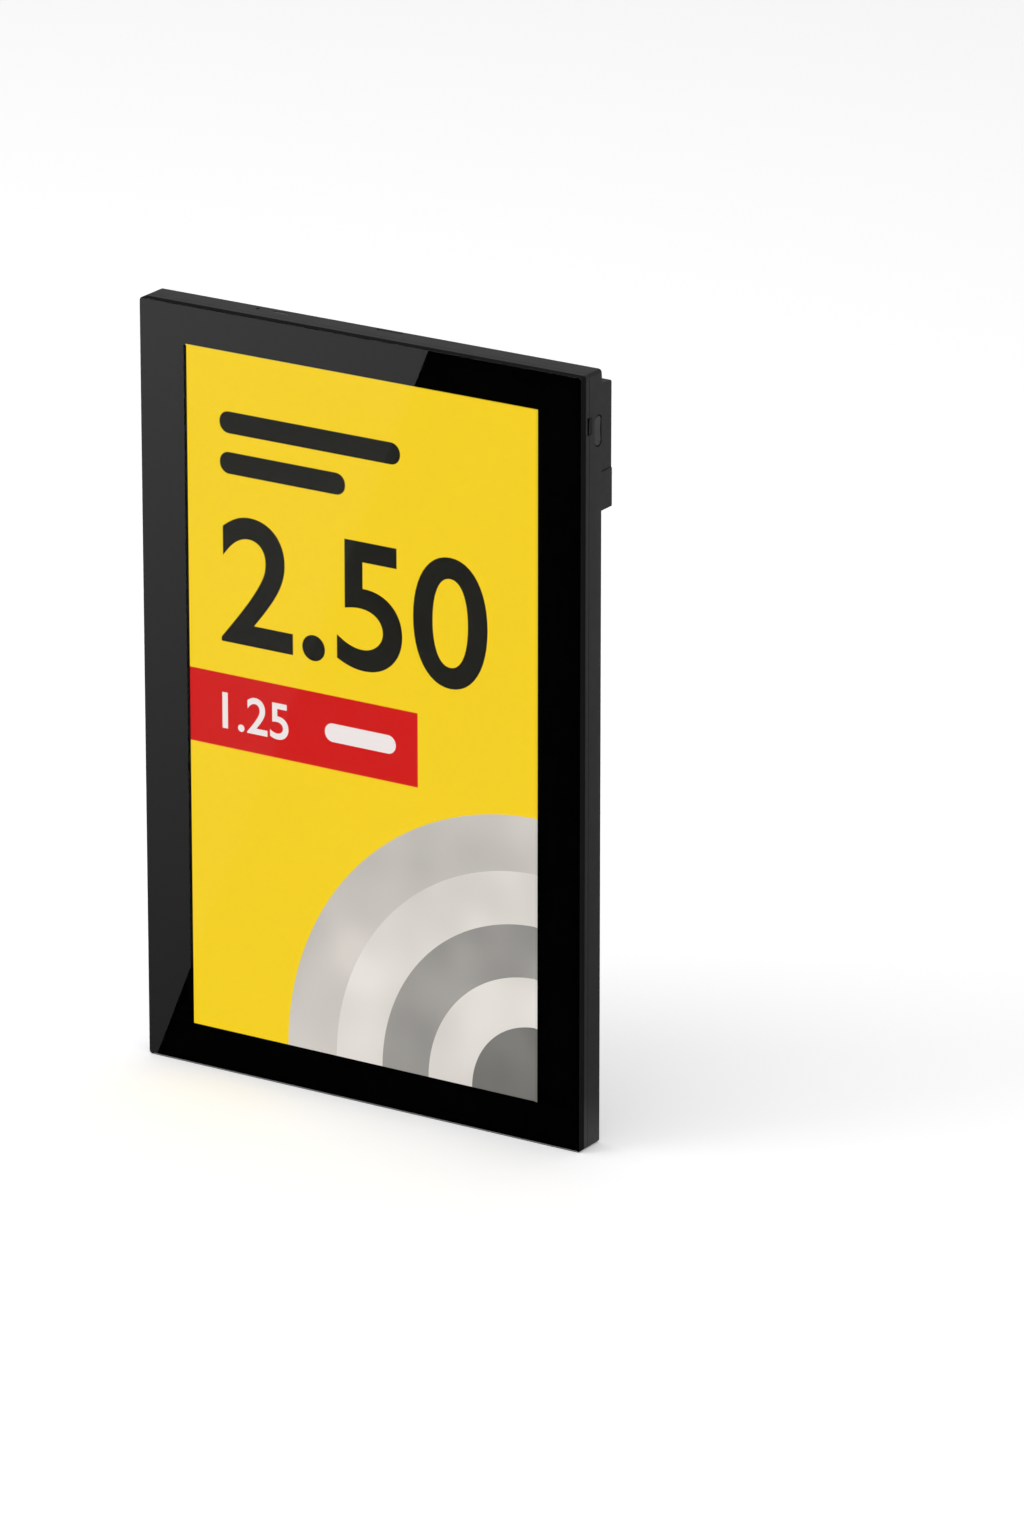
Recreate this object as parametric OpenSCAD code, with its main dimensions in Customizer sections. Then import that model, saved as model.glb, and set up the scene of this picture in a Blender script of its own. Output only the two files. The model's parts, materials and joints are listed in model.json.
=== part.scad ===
// Electronic shelf label with a full glass front, a lift-out battery module and a hanging rail.
// The label stands on its lower edge. +X is to the right seen from the front, the screen faces -Y,
// and the origin lies under the middle of the outer box. Depths are measured from the glass face.

/* [Screen] */
// Width of the visible screen
screen_w = 127.6; // [120:0.1:150]
// Height of the visible screen
screen_h = 222.2; // [200:0.1:250]
// Width of the black border on each side of the screen
border_side = 16.2; // [16:0.1:20]
// Height of the black border under the screen
border_low = 13; // [12.6:0.1:18]
// Height of the black border above the screen
border_top = 12.8; // [12.6:0.1:18]

/* [Body] */
// Radius of the four corners seen from the front
corner_r = 1.2; // [0.6:0.1:2.5]
// Thickness of the moulded side walls
wall = 1.6; // [1.2:0.1:2]
// Height of the band of the front frame that shows at the side
frame_band = 1.9; // [1.5:0.1:2]
// Width of the rim on the front frame that centres the rear housing
rim_t = 1.2; // [0.8:0.1:1.6]
// Height of that rim
rim_h = 2; // [1:0.1:2.2]

/* [Cover glass] */
// Thickness of the cover glass
glass_t = 2; // [1.6:0.1:2.1]
// Radius of the polished front edge of the glass
glass_edge_r = 0.5; // [0.2:0.1:0.7]
// Thickness of the black border printed on the back of the glass
mask_t = 0.1; // [0.05:0.05:0.15]
// How far the print stays back from the edge of the glass
mask_inset = 0.3; // [0.1:0.1:0.5]
// Thickness of the bonding tape behind the printed border
tape_t = 0.2; // [0.15:0.05:0.3]
// How far the tape stays back from the edge of the glass
tape_inset = 0.2; // [0.1:0.1:0.6]

/* [Display stack] */
// Thickness of the clear adhesive between glass and display
adhesive_t = 0.15; // [0.1:0.05:0.2]
// Thickness of each polariser
polariser_t = 0.15; // [0.1:0.05:0.2]
// Thickness of each of the two glass sheets of the display cell
cell_glass_t = 0.4; // [0.3:0.05:0.5]
// Thickness of each backlight film
film_t = 0.15; // [0.1:0.05:0.2]
// Thickness of the light guide
guide_t = 1.85; // [1.6:0.05:1.95]
// Thickness of the sheet metal of the backlight tray
tray_t = 0.4; // [0.3:0.05:0.5]
// Dark border of the display cell beside the screen
cell_border = 2.8; // [2.4:0.1:3]
// Dark border of the display cell under the screen
cell_border_low = 4.4; // [4:0.1:4.8]
// Height of the bare glass ledge that carries the driver chips
ledge_h = 5.8; // [5:0.1:6]
// Width of the display ribbon
flex_w = 40; // [30:1:44]
// Thickness of the ribbons
flex_t = 0.15; // [0.1:0.01:0.2]

/* [Rear panel] */
// Thickness of the flat rear panel
panel_t = 1; // [0.8:0.1:1.2]
// Thickness of the housing wall behind the rear panel
panel_back_t = 1; // [0.8:0.1:1.2]
// Width of the strip left beside the rear panel
panel_side = 5.9; // [5:0.1:6.4]
// Height of the strip left under the rear panel
panel_low = 1.7; // [1.2:0.1:3]
// Radius of the two lower corners of the rear panel
panel_r = 2; // [1:0.1:3]
// Gap round the rear panel
panel_gap = 0.35; // [0.2:0.05:0.5]

/* [Battery hump] */
// How far the battery hump stands out behind the body
hump_d = 6; // [5.6:0.1:8]
// Height of the battery hump
hump_h = 39.8; // [39:0.1:46]
// Distance from the top of the body down to the ledge of the hump
ledge_drop = 4.8; // [4:0.1:6]
// Thickness of the walls round the battery bay
bay_wall = 1.2; // [0.9:0.1:1.4]
// Width of each side chamber beside the battery bay
chamber_w = 6.7; // [6.5:0.1:7.2]
// Thickness of the wall between a side chamber and the rear face
chamber_back_t = 3.2; // [2.8:0.1:3.6]

/* [Hanging rail] */
// Thickness of the rounded lip of the hanging rail
lip_t = 1.8; // [1.4:0.1:2.2]
// Depth of the channel behind the lip
rail_depth = 1.8; // [1.4:0.1:2]
// Width of the narrow groove along the wall of the body
wall_groove = 0.5; // [0.3:0.1:0.8]
// Rise of the highest saddles above the ledge
saddle_rise = 0.9; // [0.4:0.1:1.4]
// Width of each notch in the lip
notch_w = 4.2; // [3:0.1:5]
// Depth of each notch in the lip
notch_depth = 1.2; // [0.8:0.1:1.3]

/* [Battery module] */
// Margin between the battery door and the sides of the hump
door_side = 5; // [4.6:0.1:6]
// Margin between the battery door and the ledge above it
door_top = 1.6; // [1.4:0.1:2]
// Margin between the battery door and the lower edge of the hump
door_low = 1.8; // [1.6:0.1:2.2]
// Thickness of the battery door
door_t = 1.6; // [1.2:0.1:1.8]
// Radius of the corners of the battery door
door_r = 2.6; // [2:0.1:3.2]
// Gap round the battery door
door_gap = 0.3; // [0.2:0.05:0.4]
// Thickness of the walls of the battery tray
cell_tray_t = 1; // [0.8:0.1:1.2]
// Gap between the battery cells and the walls of the tray
cell_side_gap = 0.5; // [0.3:0.1:1]
// Gap between the battery cells and the door
cell_back_gap = 1; // [0.5:0.1:1.5]
// Gap between the two battery cells
cell_gap_w = 11.2; // [10.8:0.1:16]

/* [Side button] */
// Length of the recess of the side button, up and down
button_l = 10; // [9:0.1:11]
// Width of the recess of the side button, front to back
button_w = 4.2; // [3.6:0.1:4.6]
// Distance from the top of the body to the middle of the button
button_drop = 18.85; // [18:0.1:22]
// Distance from the rear face of the body to the middle of the button
button_back = 2; // [1.8:0.1:2.2]
// Gap between the button and its recess
button_gap = 0.35; // [0.2:0.05:0.4]
// How far the button lies below the side face
button_recess = 0.1; // [0.05:0.05:0.6]
// Travel of the side button
button_travel = 0.5; // [0.3:0.05:0.5]
// Height of the body of the push switch
switch_h = 2.5; // [2.2:0.1:2.8]

/* [Electronics] */
// Thickness of the circuit boards
board_t = 0.8; // [0.6:0.1:1]
// Room between the display and the main board
board_gap = 1.25; // [1.2:0.05:1.6]
// Gap between the main board and the pillars beside it
board_side_gap = 4.3; // [2:0.1:8]
// Height of the main board
board_h = 59; // [54:0.5:62]
// Height of the pillars that carry the main board
standoff_h = 1.3; // [1.2:0.1:1.4]
// Thickness of the leaves of the battery springs
spring_t = 0.2; // [0.15:0.01:0.25]
// Width of each battery spring
spring_w = 1.8; // [1.4:0.1:2.2]
// Diameter of the aerial cable
cable_d = 0.8; // [0.6:0.1:1]

/* [Fasteners] */
// Radius of the shanks of the case screws
screw_r = 0.95; // [0.8:0.05:1]
// Radius of the heads of the case screws
head_r = 1.8; // [1.6:0.05:1.85]
// Thickness of the heads of the case screws
head_t = 0.8; // [0.6:0.05:0.9]
// Radius of the shanks of the board screws
board_screw_r = 0.7; // [0.6:0.05:0.8]

/* [Top face] */
// Length of the blind release slot in the top face
slot_l = 9.4; // [7:0.1:12]
// Width of the blind release slot
slot_w = 1.2; // [0.8:0.1:1.4]
// Length of the window of the status lamp
pipe_l = 5.2; // [4:0.1:6]
// Width of the window of the status lamp
pipe_w = 1.4; // [1:0.1:1.4]
// Radius of the hole over the light sensor
sensor_r = 0.6; // [0.5:0.05:0.7]

/* [Fits] */
// Clearance of a screw shank in its hole
screw_gap = 0.05; // [0.03:0.01:0.1]
// Clearance of the switch plunger in its bore
plunger_gap = 0.05; // [0.03:0.01:0.08]
// Gap between small neighbouring pieces
small_gap = 0.1; // [0.05:0.01:0.15]
// Gap round the battery tray in its bay
bay_gap = 0.4; // [0.3:0.05:0.5]

/* [Hidden] */
$fn = 48;

// Overrun of cuts that leave a solid
cut = 1;

// Outline of the label
body_w = screen_w + 2 * border_side;
body_h = border_low + screen_h + border_top;

// Depths of the layers, measured from the glass face
y_mask = glass_t;
y_stack = y_mask + mask_t;
y_frame = y_stack + tape_t;
y_seam = y_frame + frame_band;
y_polariser = y_stack + adhesive_t;
y_filter = y_polariser + polariser_t;
y_tft = y_filter + cell_glass_t;
y_rear_polariser = y_tft + cell_glass_t;
y_diffuser = y_rear_polariser + polariser_t;
y_prism = y_diffuser + film_t;
y_guide = y_prism + film_t;
y_reflector = y_guide + guide_t;
y_tray = y_reflector + film_t;
y_tray_back = y_tray + tray_t;
y_board = y_tray_back + board_gap;
y_board_back = y_board + board_t;
y_wall = y_board_back + standoff_h;
y_panel = y_wall + panel_back_t;
body_d = y_panel + panel_t;
total_d = body_d + hump_d;

// Heights of the screen and of the display
z_screen = border_low;
z_screen_top = z_screen + screen_h;
cell_w_all = screen_w + 2 * cell_border;
z_cell = z_screen - cell_border_low;
cell_border_top = 2;
z_filter_top = z_screen_top + cell_border_top;
z_tft_top = z_filter_top + ledge_h;

// Backlight, outline of its parts
guide_margin = 1.6;
guide_w = screen_w + 2 * guide_margin;
z_guide = z_screen - guide_margin;
z_guide_top = z_screen_top + guide_margin;
led_bar_h = 1.4;
led_strip_t = 0.4;
led_count = 30;
led_w = 2;
mould_t = 1.5;
mould_inner_w = guide_w + 2 * small_gap;
z_mould_inner = z_guide - led_bar_h - 2 * small_gap;
z_mould_inner_top = z_guide_top + small_gap;
mould_w = mould_inner_w + 2 * mould_t;
tray_w = mould_w + 2 * tray_t;
z_tray = z_mould_inner - mould_t - tray_t;
z_tray_top = z_mould_inner_top + mould_t + tray_t;

// Display ribbon, chips and connector
flex_gap = 0.05;
y_flex = y_tray_back + flex_gap;
flex_bond = 2.4;
fold_steps = 10;
connector_h = 0.7;
connector_l = 5;
connector_margin = 3;
chip_share = 0.16;
chip_h = 1.6;
chip_t = 0.3;
chip_shares = [-0.3, 0, 0.3];

// Front frame opening and screw bosses
frame_open_gap = 0.7;
frame_open_w = tray_w + 2 * frame_open_gap;
frame_low_bar = 5.6;
frame_top_bar = 2.6;
boss_r = 2.4;
pillar_r = 2.6;
boss_inset = 3.2;
boss_x = body_w / 2 - panel_side - boss_inset;
boss_low = 12.4;
boss_hump_drop = 13.2;
boss_shares = [0, 0.493, 1];
boss_gap = 0.05;
pillar_h = 1.5;
y_boss_end = y_wall - pillar_h;
head_well = head_t + small_gap;
head_gap = 0.2;
y_head = y_panel - head_well;
thread_l = 4.4;
tab_w = 10;
tab_t = 1.2;
tab_l = 4.2;
tab_nib = 0.9;
tab_nib_h = 0.4;
tab_drop = 0.2;
tab_x_shares = [-0.4, 0.2, 0.4];

// Battery hump, its bay and its chambers
z_ledge = body_h - ledge_drop;
z_hump = z_ledge - hump_h;
z_rail_floor = z_ledge - rail_depth;
lip_r = lip_t / 2;
bay_floor_gap = 0.65;
y_bay_front = y_tray_back + bay_floor_gap;
y_bay = y_bay_front + bay_wall;
bay_w = body_w - 2 * (wall + chamber_w + bay_wall);
bay_low = 3.5;
z_bay = z_hump + bay_low;
rail_floor_t = 1.8;
z_bay_top = z_rail_floor - rail_floor_t;
door_w = body_w - 2 * door_side;
z_door = z_hump + door_low;
z_boss_top = z_hump - boss_hump_drop;
z_door_top = z_ledge - door_top;
y_door = total_d - door_t;
y_chamber_end = total_d - chamber_back_t;
chamber_margin = 1.6;
z_chamber = z_hump + chamber_margin;
z_chamber_top = z_rail_floor - chamber_margin;
side_pad_drop = 0.25;
side_pad_h = 12.3;

// Shallow reliefs in the lower edge of the hump
relief_w = 17;
relief_h = 0.7;
relief_d = 1.4;
relief_shares = [0.15, 0.4, 0.6, 0.85];

// Hanging rail: places along the width, counted from the +X end
rail_end_share = 0.071;
rail_far_end_share = 0.948;
notch_shares = [0.083, 0.198, 0.498, 0.674, 0.934];
saddle_shares = [
    [0.097, 0.186, 1],
    [0.321, 0.389, 1],
    [0.389, 0.484, 0.72],
    [0.512, 0.660, 1],
    [0.814, 0.920, 0.55]
];
saddle_steps = 8;

// Seam groove on the left and tool slot on the right
groove_w = 0.85;
groove_depth = 0.7;
groove_top_drop = 5;
tool_slot_l = 5.5;
tool_slot_w = 0.6;
tool_slot_lip = 0.9;
tool_slot_depth = 1.2;
tool_slot_drop = 16.3;
z_tool_slot = body_h - tool_slot_drop - tool_slot_l / 2;
scoop_depth = 0.35;
scoop_reach = 1.5;
scoop_r = (scoop_reach * scoop_reach + scoop_depth * scoop_depth) / (2 * scoop_depth);

// Side button and push switch
z_button = body_h - button_drop;
button_y = body_d - button_back;
x_side = body_w / 2;
x_wall = x_side - wall;
x_bay_wall = bay_w / 2 + bay_wall;
flange_margin = 0.6;
flange_t = 1;
flange_gap = 0.1;
stem_r = 1.4;
dish_depth = 0.3;
cap_l = button_l - 2 * button_gap;
cap_w = button_w - 2 * button_gap;
dish_r = (cap_l * cap_l / 4 + dish_depth * dish_depth) / (2 * dish_depth);
switch_w = 4.4;
plunger_r = 1;
plunger_out = 0.6;
plunger_l = 1.2;
plunger_well = plunger_l - plunger_out + button_travel + small_gap;
button_board_h = 16;
button_board_d = 7;
x_switch = x_bay_wall + board_t;
x_switch_face = x_switch + switch_h;
x_plunger_tip = x_switch_face + plunger_out;

// Button ribbon
ribbon_w = 3;
ribbon_low_z = 5;
ribbon_reach = 3;
ribbon_wall_gap = 0.4;

// Main board and what it carries
board_drop = 2.7;
board_w = 2 * (boss_x - pillar_r - board_side_gap);
z_board_top = z_hump - board_drop;
z_board = z_board_top - board_h;
board_hole_inset = 5;
board_hole_x = board_w / 2 - board_hole_inset;
board_hole_low = z_board + board_hole_inset;
board_hole_top = z_board_top - board_hole_inset;
board_head_r = 1.6;
board_head_t = 0.5;
board_pillar_r = 2.2;
board_thread_l = 1.9;
parts_gap = 0.1;
shield_w = 36;
shield_h = 28;
shield_t = 0.2;
shield_in = 16;
shield_x = shield_in + shield_w / 2 - board_w / 2;
shield_z = 22;
spring_x_step = 8;
spring_count = 4;
spring_foot = 5;
pad_w = 2.6;
pad_t = 0.2;
pad_d = 1.6;
spring_slot_margin = 0.6;

// Chips on the main board: place from the board's middle and lower edge, width, height,
// and the share of the free height that each fills
chip_table = [
    [16, 22, 14, 14, 0.9],
    [38, 22, 11, 13, 0.8],
    [38, 41, 9, 8, 0.7],
    [14, 43, 6, 6, 0.95],
    [24, 43, 5, 5, 0.95],
    [-14, 47, 8, 4, 0.6],
    [-36, 45, 7, 7, 0.85]
];

// Aerial film, its cable and its socket
antenna_margin = 2.4;
antenna_side = 0.5;
antenna_t = 0.1;
socket_w = 2.6;
socket_t = 1;
socket_in = 4;
cable_r = cable_d / 2;
cable_drop = 14.5;
y_cable = y_board_back + cable_r + parts_gap;

// Lamp and light sensor behind the top face
pipe_share = 0.709;
sensor_share = 0.763;
slot_share = 0.467;
slot_depth = 1.2;
slot_back = 1.5;
pipe_y = y_wall - pipe_w / 2;
pipe_recess = 0.1;
led_board_h = 3.6;
led_board_margin = 3.4;
lamp_t = 0.9;
lamp_w = 2;
lamp_h = 1;

// Battery tray, cells and contacts
tray_out_w = bay_w - 2 * bay_gap;
z_tray_out = z_bay + bay_gap;
z_tray_out_top = z_bay_top - bay_gap;
tray_floor_gap = 0.3;
y_tray_out = y_bay + tray_floor_gap;
cell_tray_floor = 0.8;
y_cell = y_tray_out + cell_tray_floor;
z_cells = z_tray_out + cell_tray_t + cell_side_gap;
z_cells_top = z_tray_out_top - cell_tray_t - cell_side_gap;
cell_w = (tray_out_w - cell_gap_w) / 2 - cell_tray_t - cell_side_gap;
cell_t = y_door - cell_back_gap - y_cell;
cell_corner_r = 1;
cell_board_w = 9;
cell_board_h = 24;
tab_strip_w = 4;
tab_strip_t = 0.15;
tab_strip_z = 6;
tab_strip_lap = 2;

// Blank marks on the door and the rear panel
mark_depth = 0.15;
door_mark_w = 15;
door_mark_h = 5.6;
door_mark_inset = 8;
door_mark_drop = 8;
z_door_mark = z_door_top - door_mark_drop - door_mark_h / 2;
sign_size = 5;
sign_line = 1;
sign_inset = 8;
sign_low = 5;
sign_step = 7.5;
z_sign = z_door + sign_low + sign_size / 2;
panel_mark_w = 16;
panel_mark_h = 8;
panel_mark_inset = 3.5;
panel_mark_low = 5;

// Place on the width that lies at a share of it, counted from the +X end
function x_of(share) = body_w / 2 - share * body_w;

// Unit vector, left-hand normal and mitre of a flat path
function unit(v) = v / norm(v);
function left_of(v) = [-v[1], v[0]];
function side_at(p, i) =
    let (before = unit(p[max(i, 1)] - p[max(i, 1) - 1]),
         after = unit(p[min(i, len(p) - 2) + 1] - p[min(i, len(p) - 2)]),
         middle = unit(left_of(before) + left_of(after)))
    middle / (middle * left_of(before));

// Outline of a strip of thickness t that follows the path p
function strip(p, t) = concat(
    [for (i = [0 : len(p) - 1]) p[i] + side_at(p, i) * t / 2],
    [for (i = [len(p) - 1 : -1 : 0]) p[i] - side_at(p, i) * t / 2]
);

// Moves a piece from depths that start at the glass face to the frame of the part
module placed() translate([0, -total_d / 2, 0]) children();

// Straight block between two values on each axis
module block(x, y, z) {
    translate([x[0], y[0], z[0]]) cube([x[1] - x[0], y[1] - y[0], z[1] - z[0]]);
}

// Rectangle with round corners, centred on its width, standing on its lower edge
module round_rect(w, h, r) {
    translate([r - w / 2, 0]) square([w - 2 * r, h]);
    translate([-w / 2, r]) square([w, h - 2 * r]);
    for (side = [-1, 1], up = [r, h - r]) translate([side * (w / 2 - r), up]) circle(r);
}

// Upright plate of that outline, from depth y on, with its lower edge at z
module plate(w, h, r, y, t, z) {
    translate([0, y + t, z]) rotate([90, 0, 0]) linear_extrude(t) round_rect(w, h, r);
}

// Upright plate with square corners
module sheet(w, z, y, t) {
    block([-w / 2, w / 2], [y, y + t], z);
}

// Extrudes a flat shape drawn in depth and height along the width, from x on
module along_x(x, l) translate([x, 0, 0]) rotate([90, 0, 90]) linear_extrude(l) children();

// Long round shape drawn in depth and height, centred
module pill(l, w) {
    translate([-w / 2, w / 2 - l / 2]) square([w, l - w]);
    for (side = [-1, 1]) translate([0, side * (l / 2 - w / 2)]) circle(w / 2);
}

// Long round shape that lies along the width, standing up from z
module lying_pill(l, w, z, h) {
    translate([0, 0, z]) linear_extrude(h) rotate(90) pill(l, w);
}

// Cylinder that points to the rear, from depth y on
module rod_y(r, y, l) translate([0, y + l, 0]) rotate([90, 0, 0]) cylinder(r = r, h = l);

// Cylinder that points to +X
module rod_x(r, x, l) translate([x, 0, 0]) rotate([0, 90, 0]) cylinder(r = r, h = l);

module at_bosses() {
    for (side = [-1, 1], share = boss_shares)
        translate([side * boss_x, 0, boss_low + share * (z_boss_top - boss_low)]) children();
}

module at_board_holes() {
    for (side = [-1, 1], z = [board_hole_low, board_hole_top])
        translate([side * board_hole_x, 0, z]) children();
}

module at_springs() {
    middle = (spring_count - 1) / 2;
    for (i = [0 : spring_count - 1]) translate([(i - middle) * spring_x_step, 0, 0]) children();
}

// Cover glass with a polished round front edge
module cover_glass() color([0.05, 0.05, 0.06]) placed() hull() {
    plate(body_w, body_h, corner_r, glass_edge_r, glass_t - glass_edge_r, 0, $fn = 32);
    for (a = [0, 30, 60]) {
        inset = glass_edge_r * (1 - cos(90 - a));
        y = glass_edge_r * (1 - sin(90 - a));
        plate(body_w - 2 * inset, body_h - 2 * inset, corner_r, y, glass_edge_r, inset, $fn = 32);
    }
}

// Black border printed on the back of the cover glass
module border_mask() color([0.02, 0.02, 0.02]) placed() difference() {
    plate(body_w - 2 * mask_inset, body_h - 2 * mask_inset, corner_r, y_mask, mask_t, mask_inset);
    sheet(screen_w, [z_screen, z_screen_top], y_mask - cut, mask_t + 2 * cut);
}

module lens_tape() color([0.1, 0.1, 0.1]) placed() difference() {
    plate(body_w - 2 * tape_inset, body_h - 2 * tape_inset, corner_r, y_stack, tape_t, tape_inset);
    frame_opening(y_stack - cut, tape_t + 2 * cut);
}

// Clear adhesive, thicker where it fills the window of the printed border
module optical_adhesive() color([0.8, 0.85, 0.9, 0.5]) placed() {
    sheet(cell_w_all, [z_cell, z_filter_top], y_stack, adhesive_t);
    sheet(screen_w, [z_screen, z_screen_top], y_mask, mask_t);
}

module front_polariser() color([0.96, 0.82, 0.11]) placed() {
    sheet(cell_w_all - 2 * small_gap, [z_cell, z_filter_top], y_polariser, polariser_t);
}

module colour_filter_glass() color([0.3, 0.35, 0.4]) placed() {
    sheet(cell_w_all, [z_cell, z_filter_top], y_filter, cell_glass_t);
}

module tft_glass() color([0.35, 0.4, 0.42]) placed() {
    sheet(cell_w_all, [z_cell, z_tft_top], y_tft, cell_glass_t);
}

// Driver chips bonded to the bare ledge at the top of the display glass
module driver_chips() color([0.15, 0.15, 0.17]) placed() for (share = chip_shares) {
    middle = share * screen_w;
    half = chip_share * screen_w / 2;
    low = z_filter_top + small_gap;
    block([middle - half, middle + half], [y_tft - chip_t, y_tft], [low, low + chip_h]);
}

module rear_polariser() color([0.45, 0.42, 0.5]) placed() {
    sheet(guide_w, [z_guide, z_guide_top], y_rear_polariser, polariser_t);
}

module diffuser_film() color([0.95, 0.95, 0.95]) placed() {
    sheet(guide_w, [z_guide, z_guide_top], y_diffuser, film_t);
}

module prism_film() color([0.85, 0.87, 0.9]) placed() {
    sheet(guide_w, [z_guide, z_guide_top], y_prism, film_t);
}

module light_guide() color([0.8, 0.9, 0.95]) placed() {
    sheet(guide_w, [z_guide, z_guide_top], y_guide, guide_t);
}

// Lamp strip under the light guide, with its row of lamps
module led_bar() color([0.95, 0.92, 0.6]) placed() {
    low = z_mould_inner + small_gap;
    block([-guide_w / 2, guide_w / 2], [y_guide, y_guide + guide_t], [low, low + led_strip_t]);
    pitch = guide_w / led_count;
    for (i = [0 : led_count - 1]) {
        middle = (i + 0.5) * pitch - guide_w / 2;
        block([middle - led_w / 2, middle + led_w / 2], [y_guide, y_guide + guide_t / 2],
              [low + led_strip_t, low + led_bar_h - small_gap]);
    }
}

module reflector_film() color([0.97, 0.97, 0.97]) placed() {
    sheet(guide_w, [z_guide, z_guide_top], y_reflector, film_t);
}

// White plastic ring that holds the light guide and films and seats the display cell
module mould_frame() color([0.92, 0.92, 0.9]) placed() difference() {
    sheet(mould_w, [z_mould_inner - mould_t, z_mould_inner_top + mould_t], y_rear_polariser,
          y_tray - y_rear_polariser);
    sheet(mould_inner_w, [z_mould_inner, z_mould_inner_top], y_rear_polariser - cut,
          y_tray - y_rear_polariser + 2 * cut);
}

// Sheet-metal pan behind the backlight
module backlight_tray() color([0.7, 0.71, 0.73]) placed() difference() {
    sheet(tray_w, [z_tray, z_tray_top], y_rear_polariser, y_tray_back - y_rear_polariser);
    sheet(mould_w, [z_tray + tray_t, z_tray_top - tray_t], y_rear_polariser - cut,
          y_tray - y_rear_polariser + cut);
}

// Ribbon from the glass ledge, folded over the top of the backlight down to the main board
z_connector_top = z_board_top - connector_margin;
y_flex_mid = y_flex + flex_t / 2;
y_flex_bond = y_tft - flex_t / 2;
fold_r = (y_flex_mid - y_flex_bond) / 2;
y_connector_mid = y_board - connector_h / 2;
flex_path = concat(
    [[y_flex_bond, z_tft_top - flex_bond]],
    [for (i = [0 : fold_steps])
        let (a = 180 * i / fold_steps)
        [y_flex_bond + fold_r * (1 - cos(a)), z_tft_top + fold_r * sin(a)]],
    [[y_flex_mid, z_connector_top + connector_h],
     [y_connector_mid, z_connector_top + connector_h / 2],
     [y_connector_mid, z_connector_top]]
);

module display_flex() color([0.75, 0.45, 0.1]) placed() {
    along_x(-flex_w / 2, flex_w) polygon(strip(flex_path, flex_t));
}

// Opening of the front frame and of the tape, round the display
module frame_opening(y, t) {
    sheet(frame_open_w, [frame_low_bar, body_h - frame_top_bar], y, t);
}

// Front frame: visible band, centring rim, screw bosses and top catches
module front_frame() color([0.2, 0.2, 0.2]) placed() {
    difference() {
        plate(body_w, body_h, corner_r, y_frame, frame_band, 0);
        frame_opening(y_frame - cut, frame_band + 2 * cut);
        tool_slot(y_seam - tool_slot_lip, tool_slot_lip + cut);
    }
    difference() {
        outer = wall + small_gap;
        inner = outer + rim_t;
        sheet(body_w - 2 * outer, [outer, body_h - outer], y_seam, rim_h);
        sheet(body_w - 2 * inner, [inner, body_h - inner], y_seam - cut, rim_h + 2 * cut);
    }
    at_bosses() difference() {
        rod_y(boss_r, y_seam, y_boss_end - boss_gap - y_seam);
        rod_y(screw_r + screw_gap, y_head - thread_l - screw_gap, body_d);
    }
    for (share = tab_x_shares) {
        top = body_h - wall - tab_drop;
        middle = share * body_w;
        block([middle - tab_w / 2, middle + tab_w / 2], [y_seam, y_seam + tab_l], [top - tab_t, top]);
        block([middle - tab_w / 2, middle + tab_w / 2], [y_seam + tab_l - tab_nib, y_seam + tab_l],
              [top - tab_t, top + tab_drop + tab_nib_h]);
    }
}

// Slot for a case opener on the right side, from depth y on
module tool_slot(y, w) {
    block([x_side - tool_slot_depth, x_side + cut], [y, y + w], [z_tool_slot, z_tool_slot + tool_slot_l]);
}

// Cross-section of a saddle of the hanging rail, in depth and height
module saddle_section(rise) {
    near = body_d + wall_groove;
    far = total_d - lip_r;
    curve = [for (i = [0 : saddle_steps])
        let (t = i / saddle_steps)
        [near + (far - near) * t, z_ledge + rise * (1 - t) * (1 - t) - lip_r * t * t]];
    polygon(concat([[far, z_rail_floor - small_gap], [near, z_rail_floor - small_gap]], curve));
}

// Rounded lip, flat ends and saddles on top of the hump
module hanging_rail() {
    along_x(-body_w / 2, body_w) {
        translate([total_d - lip_t, z_rail_floor - small_gap])
            square([lip_t, rail_depth - lip_r + small_gap]);
        translate([total_d - lip_r, z_ledge - lip_r]) circle(lip_r);
    }
    for (span = [[0, rail_end_share], [rail_far_end_share, 1]]) {
        block([x_of(span[1]), x_of(span[0])], [body_d, total_d - lip_r],
              [z_rail_floor - small_gap, z_ledge]);
    }
    for (saddle = saddle_shares) {
        along_x(x_of(saddle[1]), (saddle[1] - saddle[0]) * body_w) saddle_section(saddle_rise * saddle[2]);
    }
}

// One notch in the lip, with an upright side and a sloping side
module rail_notch() {
    slope = notch_depth;
    top = notch_depth + saddle_rise + cut;
    half = notch_w / 2;
    translate([0, total_d + cut, z_ledge - notch_depth]) rotate([90, 0, 0])
        linear_extrude(hump_d - wall_groove + cut)
            polygon([[-half, 0], [half - slope, 0], [half + slope, top], [-half, top]]);
}

// Outer form of the rear housing: body tub, hump and rail
module housing_form() {
    plate(body_w, body_h, corner_r, y_seam, body_d - y_seam, 0);
    block([-body_w / 2, body_w / 2], [y_wall, total_d], [z_hump, z_rail_floor]);
    hanging_rail();
}

// Everything that is cut from the battery bay side of the housing
module bay_cuts() {
    block([-bay_w / 2, bay_w / 2], [y_bay, total_d + cut], [z_bay, z_bay_top]);
    plate(door_w + 2 * door_gap, z_door_top - z_door + 2 * door_gap, door_r + door_gap, y_door, door_t + cut,
          z_door - door_gap);
    at_springs() {
        low = z_bay - bay_wall - small_gap;
        block([-spring_w / 2 - spring_slot_margin, spring_w / 2 + spring_slot_margin],
              [y_board_back + spring_t, y_bay + pad_d + spring_slot_margin], [low, z_bay + small_gap]);
    }
}

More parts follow.
